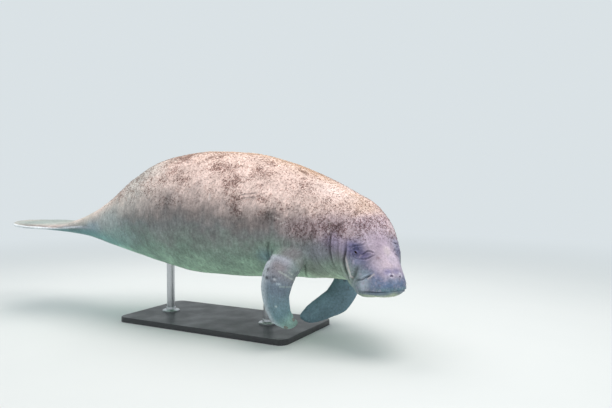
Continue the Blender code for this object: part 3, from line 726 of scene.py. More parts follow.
def open_eyes(points):
    """Shapes the lids over each eyeball, opens them, and puckers the skin round them."""
    points = points.copy()
    for _, centre, ahead, up, out in eye_frames():
        near = np.flatnonzero(np.linalg.norm(points - centre, axis=1) < 0.06)
        offset = points[near] - centre
        u, v, w = offset @ ahead, offset @ up, offset @ out
        r = np.hypot(u, v)
        turn = np.arctan2(v, u)
        ball = np.sqrt(np.maximum(LID_REACH**2 - r**2, 0))
        lifted = np.where(r < LID_REACH, np.logaddexp(w / 0.0016, ball / 0.0016) * 0.0016 - 0.0007, w)
        blend = smooth_step(LID_REACH * 1.25, LID_REACH * 0.8, r)
        w_new = w + (lifted - w) * blend
        around = smooth_step(0.010, 0.015, r) * smooth_step(0.036, 0.020, r)
        pucker = np.cos(turn * 11 + 2.5 * np.sin(turn * 3)) * around
        rings = np.cos((r * (1 + 0.18 * np.sin(2 * turn)) - 0.0135) * 2 * math.pi / 0.0085) * around
        w_new += 0.0006 * pucker + 0.0008 * rings
        edge = np.hypot(u / OPENING_LONG, (v + 0.0006) / OPENING_HIGH)
        w_new += 0.0012 * np.exp(-(((edge - 1.25) / 0.20) ** 2))
        floor = np.sqrt(np.maximum(EYE_RADIUS**2 - r**2, 0)) - 0.0042
        inside = smooth_step(1.10, 0.86, edge)
        w_new += (floor - w_new) * inside
        points[near] += out * (w_new - w)[:, None]
    return points


def open_nostrils(points):
    """Two curved openings at the top of the muzzle, each with a soft rim."""
    points = points.copy()
    for side in (-1, 1):
        ring_x = np.full(1441, NOSTRIL[0])
        ring = skin(ring_x, np.linspace(-math.pi, math.pi, 1441))
        guide = np.array(NOSTRIL) * (1, side, 1) + (0, NOSTRIL_SHIFT, 0)
        spot = ring[int(np.argmin(np.linalg.norm(ring - guide, axis=1)))]
        centre = posed(spot)
        way = posed(spot + np.array((0.75, 0.25 * side, 0.62)) * 1e-3) - centre
        way /= np.linalg.norm(way)
        across = posed(spot + np.array((0, side, 0)) * 1e-3) - centre
        across -= way * (across @ way)
        across /= np.linalg.norm(across)
        high = np.cross(way, across) * side
        near = np.flatnonzero(np.linalg.norm(points - centre, axis=1) < 0.05)
        offset = points[near] - centre
        u, v = offset @ across, offset @ high
        bend = v - 0.0035 + (u / 0.010) ** 2 * 0.0045
        opening = np.hypot(u / 0.0088, bend / 0.0042)
        rim = np.hypot(u / 0.0088, v / 0.0075)
        change = 0.0014 * np.exp(-(((rim - 1.35) / 0.45) ** 2))
        change -= 0.0120 * smooth_step(1.12, 0.55, opening)
        points[near] += way * change[:, None]
    return points


def nick_tail(points, places):
    """Wears the rim of the tail paddle a little."""
    half_width = section_sizes(np.clip(places[:, 0], 0.004, BODY_LENGTH))[0]
    rim = smooth_step(0.86, 0.99, np.abs(places[:, 1]) / half_width) * smooth_step(0.60, 0.45, places[:, 0])
    tip = smooth_step(0.035, 0.0, places[:, 0])
    inward = 0.0035 * np.abs(noise(places, 0.05, 11)) + 0.0018 * np.abs(noise(places, 0.018, 12))
    middle = posed(np.array((0.30, 0.0, 0.0)))
    way = (middle - points) * (1, 1, 0)
    way /= np.linalg.norm(way, axis=1, keepdims=True)
    return points + way * (inward * np.maximum(rim, tip))[:, None]


# Markings


# Where algae grow thickest: centre on the straight body, reach along each axis, and strength
ALGAE_PATCHES = (
    ((2.28, 0.255, 0.060), (0.13, 0.10, 0.060), 0.42),
    ((2.42, 0.205, 0.056), (0.13, 0.10, 0.070), 0.44),
    ((2.54, 0.150, 0.072), (0.10, 0.09, 0.070), 0.40),
    ((2.62, 0.060, 0.085), (0.05, 0.09, 0.034), 0.26),
    ((2.64, 0.090, 0.025), (0.03, 0.05, 0.025), 0.30),
    ((2.48, 0.100, 0.165), (0.14, 0.10, 0.035), 0.25),
    ((1.72, 0.265, 0.360), (0.06, 0.05, 0.030), 0.75),
    ((1.80, 0.255, 0.358), (0.04, 0.05, 0.025), 0.70),
    ((1.84, 0.310, 0.300), (0.05, 0.05, 0.040), 0.60),
    ((1.89, 0.345, 0.215), (0.035, 0.05, 0.060), 0.75),
    ((1.92, 0.365, 0.135), (0.04, 0.05, 0.035), 0.55),
    ((2.00, 0.330, 0.200), (0.08, 0.05, 0.020), 0.60),
    ((2.06, 0.330, 0.125), (0.06, 0.05, 0.030), 0.60),
    ((2.17, 0.280, 0.165), (0.06, 0.05, 0.030), 0.60),
    ((1.45, 0.395, 0.180), (0.12, 0.06, 0.030), 0.32),
    ((1.28, 0.345, 0.235), (0.10, 0.06, 0.035), 0.25),
)


# A barer patch on the left temple
LEFT_BARE_PLACE, LEFT_BARE_REACH = (2.610, 0.120, 0.060), (0.080, 0.080, 0.080)


def algae_amount(places):
    """How thick the algae are at straight body places, from 0 to 1."""
    angle = height_angle(places)
    x = places[:, 0]
    back = smooth_step(6, 40, angle) * smooth_step(0.66, 1.00, x) * smooth_step(2.69, 2.60, x)
    clumps = 0.5 + 0.5 * (0.55 * noise(places, 0.10, 21) + 0.45 * noise(places, 0.032, 22))
    amount = back * (0.10 + 0.42 * smooth_step(0.45, 0.85, clumps))
    for centre, reach, strength in ALGAE_PATCHES:
        apart = (((mirrored(places) - centre) / reach) ** 2).sum(1)
        amount += strength * np.exp(-apart) * (0.35 + 0.65 * smooth_step(0.30, 0.62, clumps))
    bare = (((places - LEFT_BARE_PLACE) / LEFT_BARE_REACH) ** 2).sum(1)
    return np.clip(amount * (1 - 0.75 * np.exp(-bare)), 0, 1)


# Colour from the belly to the back, with light and shade painted in: the pale green belly is painted light from below,
# and the dark flanks about the widest level are painted shade under the lit back. Angle up from the widest level in
# degrees, then red, green and blue
BODY_TINTS_WITH_PAINTED_LIGHT = (
    (-90, 0.620, 0.880, 0.660),
    (-62, 0.600, 0.860, 0.640),
    (-42, 0.325, 0.480, 0.365),
    (-28, 0.200, 0.285, 0.230),
    (-4, 0.190, 0.190, 0.188),
    (8, 0.245, 0.205, 0.195),
    (20, 0.520, 0.405, 0.375),
    (32, 0.740, 0.565, 0.510),
    (60, 0.690, 0.515, 0.455),
    (90, 0.680, 0.500, 0.410),
)
# The same for the head, with light and shade painted in: pale green low down is painted light from below, the dark
# middle is painted shade and the pale top is painted light from above
HEAD_TINTS_WITH_PAINTED_LIGHT = (
    (-90, 0.330, 0.380, 0.270),
    (-45, 0.130, 0.185, 0.200),
    (-5, 0.165, 0.195, 0.260),
    (25, 0.160, 0.150, 0.250),
    (50, 0.400, 0.330, 0.410),
    (90, 0.560, 0.450, 0.510),
)

# Tinted patches: centre on the straight body, mirrored, reach along each axis, red, green and
# blue, and strength. The green and teal patches underneath are partly painted light from below;
# the armpit, jaw shade, muzzle front and lip shade patches are painted shadow
TINT_PATCHES = {
    "tail_top": ((0.25, 0.10, 0.020), (0.34, 0.30, 0.016), (0.320, 0.385, 0.360), 0.97),
    "tail_under": ((0.25, 0.10, -0.026), (0.34, 0.30, 0.018), (0.170, 0.340, 0.390), 0.97),
    "stock_side": ((0.73, 0.185, 0.000), (0.10, 0.07, 0.045), (0.290, 0.400, 0.480), 0.80),
    "stock_ridge": ((0.62, 0.060, 0.060), (0.11, 0.16, 0.070), (0.470, 0.480, 0.420), 0.75),
    "stock_line": ((0.60, 0.170, -0.002), (0.12, 0.06, 0.008), (0.440, 0.460, 0.540), 0.7),
    "stock_under": ((0.60, 0.150, -0.040), (0.16, 0.12, 0.030), (0.150, 0.290, 0.310), 0.85),
    "stock_keel": ((0.80, 0.160, -0.075), (0.28, 0.16, 0.055), (0.150, 0.370, 0.380), 0.75),
    "stock_flank": ((0.90, 0.250, 0.045), (0.17, 0.12, 0.080), (0.500, 0.570, 0.560), 0.65),
    "rear_side": ((1.00, 0.280, -0.035), (0.22, 0.16, 0.055), (0.210, 0.335, 0.315), 0.65),
    "stock_top": ((0.80, 0.060, 0.180), (0.20, 0.16, 0.090), (0.620, 0.600, 0.530), 0.7),
    "rear_back": ((1.10, 0.200, 0.320), (0.24, 0.20, 0.120), (0.560, 0.600, 0.560), 0.65),
    "flank_dark_a": ((1.50, 0.405, 0.130), (0.10, 0.06, 0.028), (0.180, 0.160, 0.160), 0.35),
    "flank_dark_b": ((1.90, 0.380, 0.060), (0.06, 0.06, 0.045), (0.145, 0.120, 0.115), 0.5),
    "flank_dark_c": ((1.77, 0.395, 0.010), (0.07, 0.06, 0.030), (0.140, 0.135, 0.135), 0.4),
    "flank_dark_d": ((2.05, 0.345, 0.085), (0.08, 0.06, 0.040), (0.150, 0.120, 0.120), 0.55),
    "neck_top": ((2.38, 0.050, 0.250), (0.20, 0.14, 0.070), (0.820, 0.660, 0.610), 0.75),
    "band_front": ((2.54, 0.150, 0.075), (0.13, 0.11, 0.066), (0.450, 0.345, 0.390), 0.80),
    "band_middle": ((2.42, 0.205, 0.058), (0.13, 0.10, 0.066), (0.510, 0.390, 0.420), 0.80),
    "band_rear": ((2.28, 0.255, 0.058), (0.13, 0.10, 0.060), (0.460, 0.350, 0.360), 0.72),
    "band_head": ((2.62, 0.050, 0.085), (0.06, 0.09, 0.040), (0.600, 0.470, 0.530), 0.75),
    "neck_side": ((2.54, 0.170, -0.005), (0.10, 0.07, 0.050), (0.310, 0.255, 0.395), 0.75),
    "throat": ((2.55, 0.140, -0.150), (0.14, 0.12, 0.060), (0.280, 0.350, 0.280), 0.75),
    "chest_low": ((2.33, 0.200, -0.150), (0.14, 0.14, 0.060), (0.235, 0.250, 0.230), 0.75),
    "chest_keel": ((2.36, 0.120, -0.225), (0.18, 0.16, 0.045), (0.520, 0.560, 0.420), 0.75),
    "chest_side": ((2.42, 0.225, -0.060), (0.14, 0.10, 0.055), (0.245, 0.235, 0.285), 0.75),
    "shoulder": ((2.28, 0.320, -0.060), (0.10, 0.08, 0.060), (0.165, 0.150, 0.165), 0.85),
    # Painted shadow behind the flipper's root
    "armpit": ((2.040, 0.300, -0.094), (0.046, 0.06, 0.036), (0.210, 0.330, 0.350), 0.85),
    "forehead": ((2.69, 0.010, -0.010), (0.065, 0.055, 0.065), (0.440, 0.345, 0.440), 0.95),
    "jaw_shade": ((2.652, 0.130, -0.150), (0.016, 0.040, 0.034), (0.110, 0.150, 0.150), 0.6),
    "eye_shade": ((2.640, 0.128, -0.026), (0.050, 0.046, 0.042), (0.125, 0.118, 0.255), 0.85),
    "eye_dark": ((2.640, 0.120, -0.024), (0.024, 0.028, 0.018), (0.055, 0.060, 0.145), 0.85),
    "eye_front": ((2.684, 0.093, -0.052), (0.037, 0.040, 0.021), (0.085, 0.070, 0.165), 0.80),
    "eye_under": ((2.662, 0.118, -0.088), (0.025, 0.040, 0.012), (0.200, 0.205, 0.330), 0.6),
    "cheek": ((2.708, 0.100, -0.140), (0.028, 0.040, 0.022), (0.240, 0.320, 0.380), 0.6),
    "muzzle_side": ((2.755, 0.085, -0.180), (0.045, 0.045, 0.040), (0.165, 0.210, 0.320), 0.8),
    "muzzle_top": ((2.780, 0.022, -0.120), (0.022, 0.034, 0.018), (0.185, 0.170, 0.310), 0.85),
    # Painted shade on the muzzle's front, which faces away from the light above
    "muzzle_front_shade": ((2.805, 0.020, -0.180), (0.034, 0.080, 0.042), (0.110, 0.170, 0.280), 0.92),
    "lip_pad": ((2.698, 0.107, -0.185), (0.028, 0.032, 0.036), (0.440, 0.490, 0.570), 0.88),
    "lip_shade": ((2.790, 0.040, -0.205), (0.040, 0.060, 0.013), (0.120, 0.220, 0.260), 0.80),
    # Painted light from below on the lower lip
    "lower_lip_light": ((2.740, 0.050, -0.250), (0.090, 0.090, 0.015), (0.640, 0.740, 0.500), 0.9),
}
ONE_SIDE_PATCHES = {
    # Painted highlight on the front of the brow
    "brow_highlight": ((2.730, 0.026, -0.068), (0.045, 0.034, 0.048), (0.640, 0.540, 0.650), 0.9),
    "brow_spot": ((2.712, 0.014, -0.036), (0.028, 0.022, 0.026), (0.620, 0.520, 0.540), 0.8),
    "left_temple": ((2.610, 0.120, 0.060), (0.070, 0.070, 0.070), (0.640, 0.500, 0.520), 0.8),
    # Painted light on the far side round the left eye, which is made paler
    "left_eye_light": ((2.655, 0.112, -0.020), (0.050, 0.060, 0.050), (0.340, 0.340, 0.460), 0.65),
    # Painted shadow behind the near flipper's root
    "right_armpit_shadow": ((2.105, -0.335, -0.085), (0.026, 0.040, 0.026), (0.050, 0.065, 0.085), 0.80),
    "right_spot": ((2.726, -0.046, -0.064), (0.010, 0.010, 0.007), (0.170, 0.080, 0.100), 0.6),
}
# Colours along the flippers: share from the root, then red, green and blue. The near flipper's pale lilac near its
# root is partly painted light from above, and the far flipper's dark colours are painted shadow
NEAR_LIMB_TINTS = ((0.0, 0.360, 0.370, 0.425), (0.29, 0.360, 0.370, 0.425), (0.36, 0.265, 0.255, 0.290), (0.42, 0.245, 0.245, 0.280), (0.52, 0.165, 0.220, 0.270), (0.80, 0.140, 0.250, 0.280), (0.9, 0.220, 0.360, 0.320), (1.0, 0.170, 0.260, 0.230))
FAR_LIMB_SHADED_TINTS = ((0.0, 0.170, 0.230, 0.240), (0.45, 0.145, 0.235, 0.290), (1.0, 0.150, 0.250, 0.300))
NEAR_LIMB_EDGE_TINT, FRONT_ROOT_TINT = (0.540, 0.600, 0.640), (0.210, 0.270, 0.260)
# Painted highlight along the tail paddle's edge, and the dark line on top of it
RIM_HIGHLIGHT_TINT, RIM_LINE_TINT = (0.860, 0.900, 0.930), (0.100, 0.080, 0.085)
# Painted shadow in the creases round the flippers' roots
ROOT_SHADOW_TINT = (0.060, 0.085, 0.100)
# Painted highlights on the nostrils' rims
NOSTRIL_RIM_HIGHLIGHT = (0.700, 0.700, 0.800)
# Dark and pale scar colours; the pale one also paints highlight lines along ridges
SCAR_DARK, SCAR_AND_HIGHLIGHT_PALE = (0.130, 0.095, 0.095), (0.620, 0.540, 0.520)

# Marks on the outer face of the right flipper: points as a share along it and a place across it,
# half width, colour and strength
LIMB_SCALE = np.array((0.52, 0.07))
LIMB_MARKS = (
    (((0.365, -0.25), (0.375, 0.0)), 0.020, (0.215, 0.185, 0.190), 0.6),
    (((0.545, -0.10), (0.550, 0.45)), 0.022, (0.125, 0.160, 0.210), 0.6),
    (((0.280, -1.00), (0.330, -0.96)), 0.007, (0.050, 0.065, 0.080), 0.9),
    (((0.400, -0.72), (0.404, -0.70)), 0.0055, (0.090, 0.085, 0.100), 0.8),
    (((0.460, -0.68), (0.462, -0.62)), 0.0065, (0.020, 0.025, 0.035), 0.95),
    (((0.448, -0.88), (0.450, -0.86)), 0.0040, (0.090, 0.085, 0.100), 0.7),
    (((0.446, -0.30), (0.450, -0.10)), 0.0050, (0.070, 0.080, 0.100), 0.8),
    (((0.480, -0.32), (0.478, -0.02)), 0.0040, (0.100, 0.100, 0.120), 0.7),
    (((0.464, -0.16), (0.465, -0.10)), 0.0045, (0.620, 0.640, 0.680), 0.85),
    (((0.494, 0.05), (0.494, 0.25)), 0.0045, (0.480, 0.560, 0.620), 0.7),
    (((0.686, -0.08), (0.688, -0.02)), 0.0045, (0.560, 0.640, 0.640), 0.7),
    (((0.400, -0.02), (0.408, 0.30), (0.418, 0.60), (0.424, 0.95)), 0.0030, (0.480, 0.520, 0.490), 0.75),
    (((0.512, 0.25), (0.508, 0.60), (0.500, 0.95)), 0.0026, (0.420, 0.500, 0.460), 0.6),
    (((0.380, 0.55), (0.384, 0.80)), 0.0024, (0.450, 0.500, 0.440), 0.6),
)

# Old wounds on the right flank, as stations and angles in degrees, with half width and whether pale. The last two pale
# lines are painted highlights on the head: along the ridge in front of the throat fold and beside the cheek crease
SCARS_AND_HIGHLIGHT_LINES = (
    (((2.095, 13), (2.130, 12), (2.158, 10)), 0.016, False),
    (((2.110, 7), (2.140, 6), (2.170, 5)), 0.010, False),
    (((2.100, 10.5), (2.130, 9.5), (2.165, 9)), 0.0035, True),
    (((2.150, 4), (2.172, 6), (2.195, 8)), 0.0035, True),
    (((1.915, 24), (1.945, 25.5), (1.985, 28)), 0.0050, False),
    (((1.925, 21), (1.960, 22.5), (1.990, 24)), 0.0040, False),
    (((2.489, 31), (2.490, 22), (2.492, 13)), 0.0045, True),
    (((1.228, 50), (1.205, 38), (1.195, 28)), 0.0045, True),
    (((1.742, 22), (1.746, 17)), 0.0060, True),
    # Painted highlight along the ridge in front of the throat fold
    (((2.612, 8), (2.622, -1), (2.632, -7), (2.641, -12)), 0.0035, True),
    # Painted highlight beside the cheek crease
    (((2.716, 0), (2.731, 10), (2.744, 22)), 0.0045, True),
)


def tint_along(rows, at):
    """A colour read from rows of a value and a colour."""
    columns = list(zip(*rows))
    return np.stack([np.interp(at, columns[0], column) for column in columns[1:]], -1)


def patched(tint, places, patches, where):
    """The colours with soft patches laid over them. Places in where are the ones that the patches' centres mean."""
    for centre, reach, colour, strength in patches.values():
        apart = (((where - centre) / reach) ** 2).sum(1)
        amount = strength * np.exp(-(apart**1.3) * (1 + 0.25 * noise(places, 0.03, 35)))
        tint = tint + (np.array(colour) - tint) * amount[:, None]
    return tint


def skin_tint(places, limbs):
    """The skin's broad colour at each place, before its fine mottling, with light and shade painted into it."""
    x = places[:, 0]
    shifted = height_angle(places) + 8 * noise(places, 0.09, 31) + 5 * noise(places, 0.03, 32)
    shifted += 7 * np.exp(-(((x - 1.2) / 0.35) ** 2)) + 4 * np.exp(-(((x - 1.85) / 0.25) ** 2))
    on_head = smooth_step(2.57, 2.66, x)[:, None]
    tint = tint_along(BODY_TINTS_WITH_PAINTED_LIGHT, shifted) * (1 - on_head) + tint_along(HEAD_TINTS_WITH_PAINTED_LIGHT, shifted) * on_head
    tint[:, 0] *= 1 - 0.14 * np.exp(-(((x - 1.02) / 0.35) ** 2)) * smooth_step(60, 20, shifted)
    uneven = 1 + 0.10 * noise(places, 0.12, 33) + 0.09 * noise(places, 0.04, 34)
    tint = patched(tint, places, TINT_PATCHES, mirrored(places))
    for rows, (share, broad, deep, belongs) in zip((NEAR_LIMB_TINTS, FAR_LIMB_SHADED_TINTS), limbs):
        colour = tint_along(rows, share)
        if rows is NEAR_LIMB_TINTS:
            edge = smooth_step(-0.45, -0.95, broad) * smooth_step(1.0, 0.75, share)
            colour += (np.array(NEAR_LIMB_EDGE_TINT) - colour) * (0.7 * edge)[:, None]
            front = smooth_step(0.05, 0.75, broad) * smooth_step(0.48, 0.36, share)
            colour += (np.array(FRONT_ROOT_TINT) - colour) * (0.85 * front)[:, None]
            for points, half, mark, strength in LIMB_MARKS:
                path = smooth_path(points, 30) * LIMB_SCALE
                apart = np.linalg.norm(np.stack([share, broad], -1)[:, None] * LIMB_SCALE - path, axis=2).min(1)
                amount = strength * np.exp(-((apart / half) ** 2)) * (deep > 0)
                colour += (np.array(mark) - colour) * amount[:, None]
        tint += (colour - tint) * limb_cover(share, belongs, rows)[:, None]
    tint = tail_rim_highlight_and_line(patched(tint, places, ONE_SIDE_PATCHES, places), places)
    # Painted highlights round the rims of the nostrils
    ring = np.linalg.norm((places - (0, NOSTRIL_SHIFT, 0)) * (1, 1, 1.1) - np.where(places[:, 1:2] > NOSTRIL_SHIFT, 1, -1) * (0, NOSTRIL[1], 0) - (NOSTRIL[0], 0, 1.1 * NOSTRIL[2]), axis=1)
    pale = 0.60 * np.exp(-(((ring - 0.0120) / 0.0035) ** 2)) * smooth_step(-0.45, 0.25, noise(places, 0.009, 38))
    tint += (np.array(NOSTRIL_RIM_HIGHLIGHT) - tint) * pale[:, None]
    # Scars, and painted highlight lines along ridges
    for points, half, pale in SCARS_AND_HIGHLIGHT_LINES:
        distance, share = line_distance(places, crease_path(points, side=-1))
        ragged = half * (1 + 0.5 * noise(places, 0.012, 36))
        amount = 0.6 * np.exp(-((distance / ragged) ** 2)) * smooth_step(-0.02, 0.12, share)
        tint += (np.array(SCAR_AND_HIGHLIGHT_PALE if pale else SCAR_DARK) - tint) * amount[:, None]
    return np.clip(tint * uneven[:, None], 0.01, 0.95)


def limb_cover(share, belongs, rows):
    """How much a place has its flipper's colours, which start a little below the root."""
    start, end = (0.245, 0.305) if rows is NEAR_LIMB_TINTS else (0.14, 0.42)
    return belongs * smooth_step(start, end, share)


def streak_amount(places):
    """How strongly the skin is streaked upright: fully on the flanks, hardly on the back, head and tail."""
    low = 1 - 0.85 * smooth_step(14, 34, height_angle(places))
    return low * smooth_step(0.64, 0.85, places[:, 0]) * (1 - 0.75 * smooth_step(2.56, 2.64, places[:, 0]))


def blotch_amount(share):
    """How strongly a flipper is blotched, most of all below its root."""
    return 0.20 + 0.55 * np.exp(-(((share - 0.42) / 0.14) ** 2))


def tail_rim_highlight_and_line(tint, places):
    """The colour with a painted highlight along the paddle's edge, and the dark broken line on top of that edge."""
    half_width, level = section_sizes(np.clip(places[:, 0], 0.004, BODY_LENGTH))[:2]
    out = np.abs(places[:, 1]) / half_width
    on_paddle = smooth_step(0.66, 0.52, places[:, 0])
    tip = smooth_step(0.030, 0.008, places[:, 0])
    up = places[:, 2] - level
    inner = smooth_step(0.30, 0.44, places[:, 0])
    low, high = -0.010 + 0.007 * inner, 0.020 - 0.016 * inner
    # Painted highlight along the paddle's edge
    rim = np.maximum(smooth_step(0.92, 0.97, out) * on_paddle, tip)
    rim *= smooth_step(low - 0.003, low + 0.002, up) * smooth_step(high + 0.004, high, up) * (1 - 0.35 * inner)
    tint = tint + (np.array(RIM_HIGHLIGHT_TINT) - tint) * (0.95 * rim)[:, None]
    line = np.exp(-(((out - 0.885) / 0.045) ** 2)) * smooth_step(0.000, 0.004, up)
    broken = smooth_step(-0.30, 0.25, 0.6 * noise(places, 0.045, 37) + 0.4 * noise(places, 0.015, 39))
    line *= on_paddle * smooth_step(0.12, 0.26, places[:, 0]) * broken
    return tint + (np.array(RIM_LINE_TINT) - tint) * (0.85 * line)[:, None]


def set_value(mesh, name, values):
    """Writes one number, colour or direction for each point of a mesh."""
    values = np.asarray(values, np.float32)
    kind, key = ("FLOAT", "value") if values.ndim == 1 else ("FLOAT_VECTOR", "vector")
    attribute = mesh.attributes.new(name, kind, "POINT")
    attribute.data.foreach_set(key, values.ravel())


def make_skin(material):
    """The animal's skin as one surface, with its folds, lids, lips and nostrils, and its markings."""
    obj = body_shell()
    fused(obj, [flipper_shell("right", RIGHT_FLIPPER), flipper_shell("left", LEFT_FLIPPER)])
    mesh = obj.data
    smooth_roots(mesh)
    for chosen in (on_head, on_flippers, on_face, on_features):
        refine(mesh, chosen)
    points, normals = points_of(mesh), normals_of(mesh)
    places = straight(points)
    limbs = [limb_places(points, limb) for limb in (RIGHT_FLIPPER, LEFT_FLIPPER)]
    on_body = 1 - sum(belongs for _, _, _, belongs in limbs)
    root_height, root_shade = root_creases(places)
    grooves = (crease_height(places) + mouth_groove(places)) * on_body + root_height
    wrinkles = wrinkle_height(places, limbs)
    algae = algae_amount(places) * on_body
    sunk = ALGAE_DEPTH * algae + 0.001 + 0.004 * smooth_step(2.74, 2.80, places[:, 0])
    corner = ((mirrored(places) - (2.800, 0.058, -0.190)) / (0.030, 0.030, 0.045)) ** 2
    sunk = sunk + 0.006 * np.exp(-corner.sum(1))
    points = points + normals * (grooves + wrinkles - sunk)[:, None]
    points = open_nostrils(open_eyes(nick_tail(points, places)))
    set_points(mesh, points)
    set_value(mesh, "place", places)
    tint = skin_tint(places, limbs)
    # Painted shadow in the creases round the flippers' roots
    tint += (np.array(ROOT_SHADOW_TINT) - tint) * (0.85 * root_shade)[:, None]
    set_value(mesh, "tint", tint)
    set_value(mesh, "algae", algae)
    rows = (NEAR_LIMB_TINTS, FAR_LIMB_SHADED_TINTS)
    covers = [limb_cover(share, belongs, row) for row, (share, _, _, belongs) in zip(rows, limbs)]
    set_value(mesh, "streak", streak_amount(places) * (1 - sum(covers)))
    set_value(mesh, "blotch", sum(cover * blotch_amount(limb[0]) for cover, limb in zip(covers, limbs)))
    # Painted shade in the creases and grooves, darkest where they are deepest
    set_value(mesh, "crease_shade", np.clip(-grooves / 0.008 - (wrinkles - 0.0004) / 0.012, 0, 1))
    set_value(mesh, "face", smooth_step(2.56, 2.66, places[:, 0]))
    mesh.shade_smooth()
    mesh.materials.clear()
    mesh.materials.append(material)
    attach(obj, "root")
    flesh = ("head", "neck", "chest", "torso", "tail_stock", "tail_paddle", "flipper_right", "flipper_left")
    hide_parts(*flesh)
    return obj


# Materials


class Shading:
    """A short way to build a material's nodes."""

    def __init__(self, name):
        self.material = bpy.data.materials.new(name)
        self.material.use_nodes = True
        self.tree = self.material.node_tree
        self.shader = self.tree.nodes["Principled BSDF"]

    def node(self, kind, inputs=(), **settings):
        """A node, with its settings and its inputs by name or number. An input is a value or a socket."""
        made = self.tree.nodes.new(kind)
        for key, value in settings.items():
            setattr(made, key, value)
        for key, value in dict(inputs).items():
            self.put(made.inputs[key], value)
        return made

    def put(self, socket, value):
        if isinstance(value, bpy.types.NodeSocket):
            self.tree.links.new(value, socket)
        else:
            socket.default_value = value

    def value_of(self, name, output="Fac"):
        """A number, colour or direction written on the mesh."""
        return self.node("ShaderNodeAttribute", attribute_name=name).outputs[output]

    def math(self, operation, a, b=0.0, clamp=False):
        made = self.node("ShaderNodeMath", {0: a, 1: b}, operation=operation, use_clamp=clamp)
        return made.outputs[0]

    def ramp(self, value, low, high):
        """An even rise from 0 at low to 1 at high."""
        inputs = {"Value": value, "From Min": low, "From Max": high}
        return self.node("ShaderNodeMapRange", inputs, interpolation_type="SMOOTHSTEP").outputs["Result"]

    def between(self, value, low, high, start, end):
        """A value's range from low to high, stretched to start to end."""
        inputs = {"Value": value, "From Min": low, "From Max": high, "To Min": start, "To Max": end}
        return self.node("ShaderNodeMapRange", inputs).outputs["Result"]

    def mix(self, amount, first, second, blend="MIX"):
        made = self.node("ShaderNodeMix", data_type="RGBA", blend_type=blend)
        self.put(made.inputs[0], amount)
        self.put(made.inputs[6], first)
        self.put(made.inputs[7], second)
        return made.outputs[2]

    def stretched(self, vector, scale):
        return self.node("ShaderNodeMapping", {"Vector": vector, "Scale": scale}).outputs[0]

    def noise(self, vector, scale, detail=3.0, rough=0.55):
        inputs = {"Vector": vector, "Scale": scale, "Detail": detail, "Roughness": rough}
        return self.node("ShaderNodeTexNoise", inputs).outputs["Fac"]

    def bump(self, height, distance, strength=1.0, after=None):
        made = self.node("ShaderNodeBump", {"Height": height, "Distance": distance, "Strength": strength})
        if after:
            self.put(made.inputs["Normal"], after)
        return made.outputs[0]

    def finish(self, **inputs):
        for name, value in inputs.items():
            self.put(self.shader.inputs[name.replace("_", " ")], value)
        return self.material


SKIN_VALUES = ("algae", "crease_shade", "face", "streak", "blotch")


def skin_material():
    """Pink and grey skin: mottled, streaked upright on the flanks, speckled with algae on the back, with painted shade
    in its creases and small painted glints.
    """
    s = Shading("manatee_skin")
    place = s.value_of("place", "Vector")
    tint = s.value_of("tint", "Color")
    algae, crease_shade, face, streak, blotch = (s.value_of(name) for name in SKIN_VALUES)
    streaks = s.noise(s.stretched(place, (80.0, 34.0, 24.0)), 1.0, 3.0, 0.6)
    streaked = s.mix(1.0, tint, s.between(streaks, 0.32, 0.68, 0.80, 1.20), "MULTIPLY")
    colour = s.mix(streak, tint, streaked)
    mottle = s.noise(place, 88.0, 3.0, 0.62)
    colour = s.mix(1.0, colour, s.between(mottle, 0.32, 0.68, 0.80, 1.20), "MULTIPLY")
    blotches = s.ramp(s.noise(place, 62.0, 3.0, 0.6), 0.56, 0.72)
    colour = s.mix(s.math("MULTIPLY", blotches, blotch), colour, (0.070, 0.075, 0.100, 1))
    patches = s.noise(place, 26.0, 4.0, 0.62)
    colour = s.mix(1.0, colour, s.between(patches, 0.25, 0.75, 0.84, 1.15), "MULTIPLY")
    # Pale flecks: flaking skin, and partly painted small glints
    flakes_and_glints = s.ramp(s.noise(place, 190.0, 2.0), 0.64, 0.78)
    colour = s.mix(s.math("MULTIPLY", flakes_and_glints, 0.32), colour, (0.80, 0.75, 0.72, 1))
    dots = s.math("ADD", s.noise(s.stretched(place, (125.0, 110.0, 85.0)), 1.0, 2.0, 0.6), s.math("MULTIPLY", algae, 0.13))
    dotted = s.math("MULTIPLY", s.ramp(dots, 0.58, 0.66), s.ramp(algae, -0.1, 0.45))
    colour = s.mix(dotted, colour, s.mix(1.0, colour, (0.50, 0.40, 0.40, 1), "MULTIPLY"))
    lilac = s.ramp(s.noise(place, 60.0, 3.0), 0.50, 0.70)
    colour = s.mix(s.math("MULTIPLY", s.math("MULTIPLY", lilac, face), 0.35), colour, (0.50, 0.42, 0.54, 1))
    # Painted shade in the creases and grooves
    shade = s.between(crease_shade, 0.0, 1.0, 1.0, 0.42)
    colour = s.mix(1.0, colour, shade, "MULTIPLY")
    rough = s.between(s.noise(place, 90.0), 0.3, 0.7, 0.52, 0.76)
    creased = s.node("ShaderNodeTexVoronoi", {"Vector": s.stretched(place, (110.0, 70.0, 60.0)), "Scale": 1.0}, feature="DISTANCE_TO_EDGE").outputs["Distance"]
    cells = s.bump(s.ramp(creased, 0.0, 0.16), 0.0011, 0.35)
    grain = s.bump(s.noise(place, 330.0, 4.0, 0.65), 0.0011, 0.75, cells)
    furrows = s.bump(s.noise(s.stretched(place, (120.0, 45.0, 34.0)), 1.0, 4.0), 0.0018, 0.45, grain)
    return s.finish(Base_Color=colour, Roughness=rough, Normal=furrows)


def algae_material():
    s = Shading("algae")
    tint = s.value_of("tint", "Color")
    place = s.value_of("place", "Vector")
    uneven = s.between(s.noise(place, 120.0), 0.3, 0.7, 0.75, 1.25)
    return s.finish(Base_Color=s.mix(1.0, tint, uneven, "MULTIPLY"), Roughness=0.9)


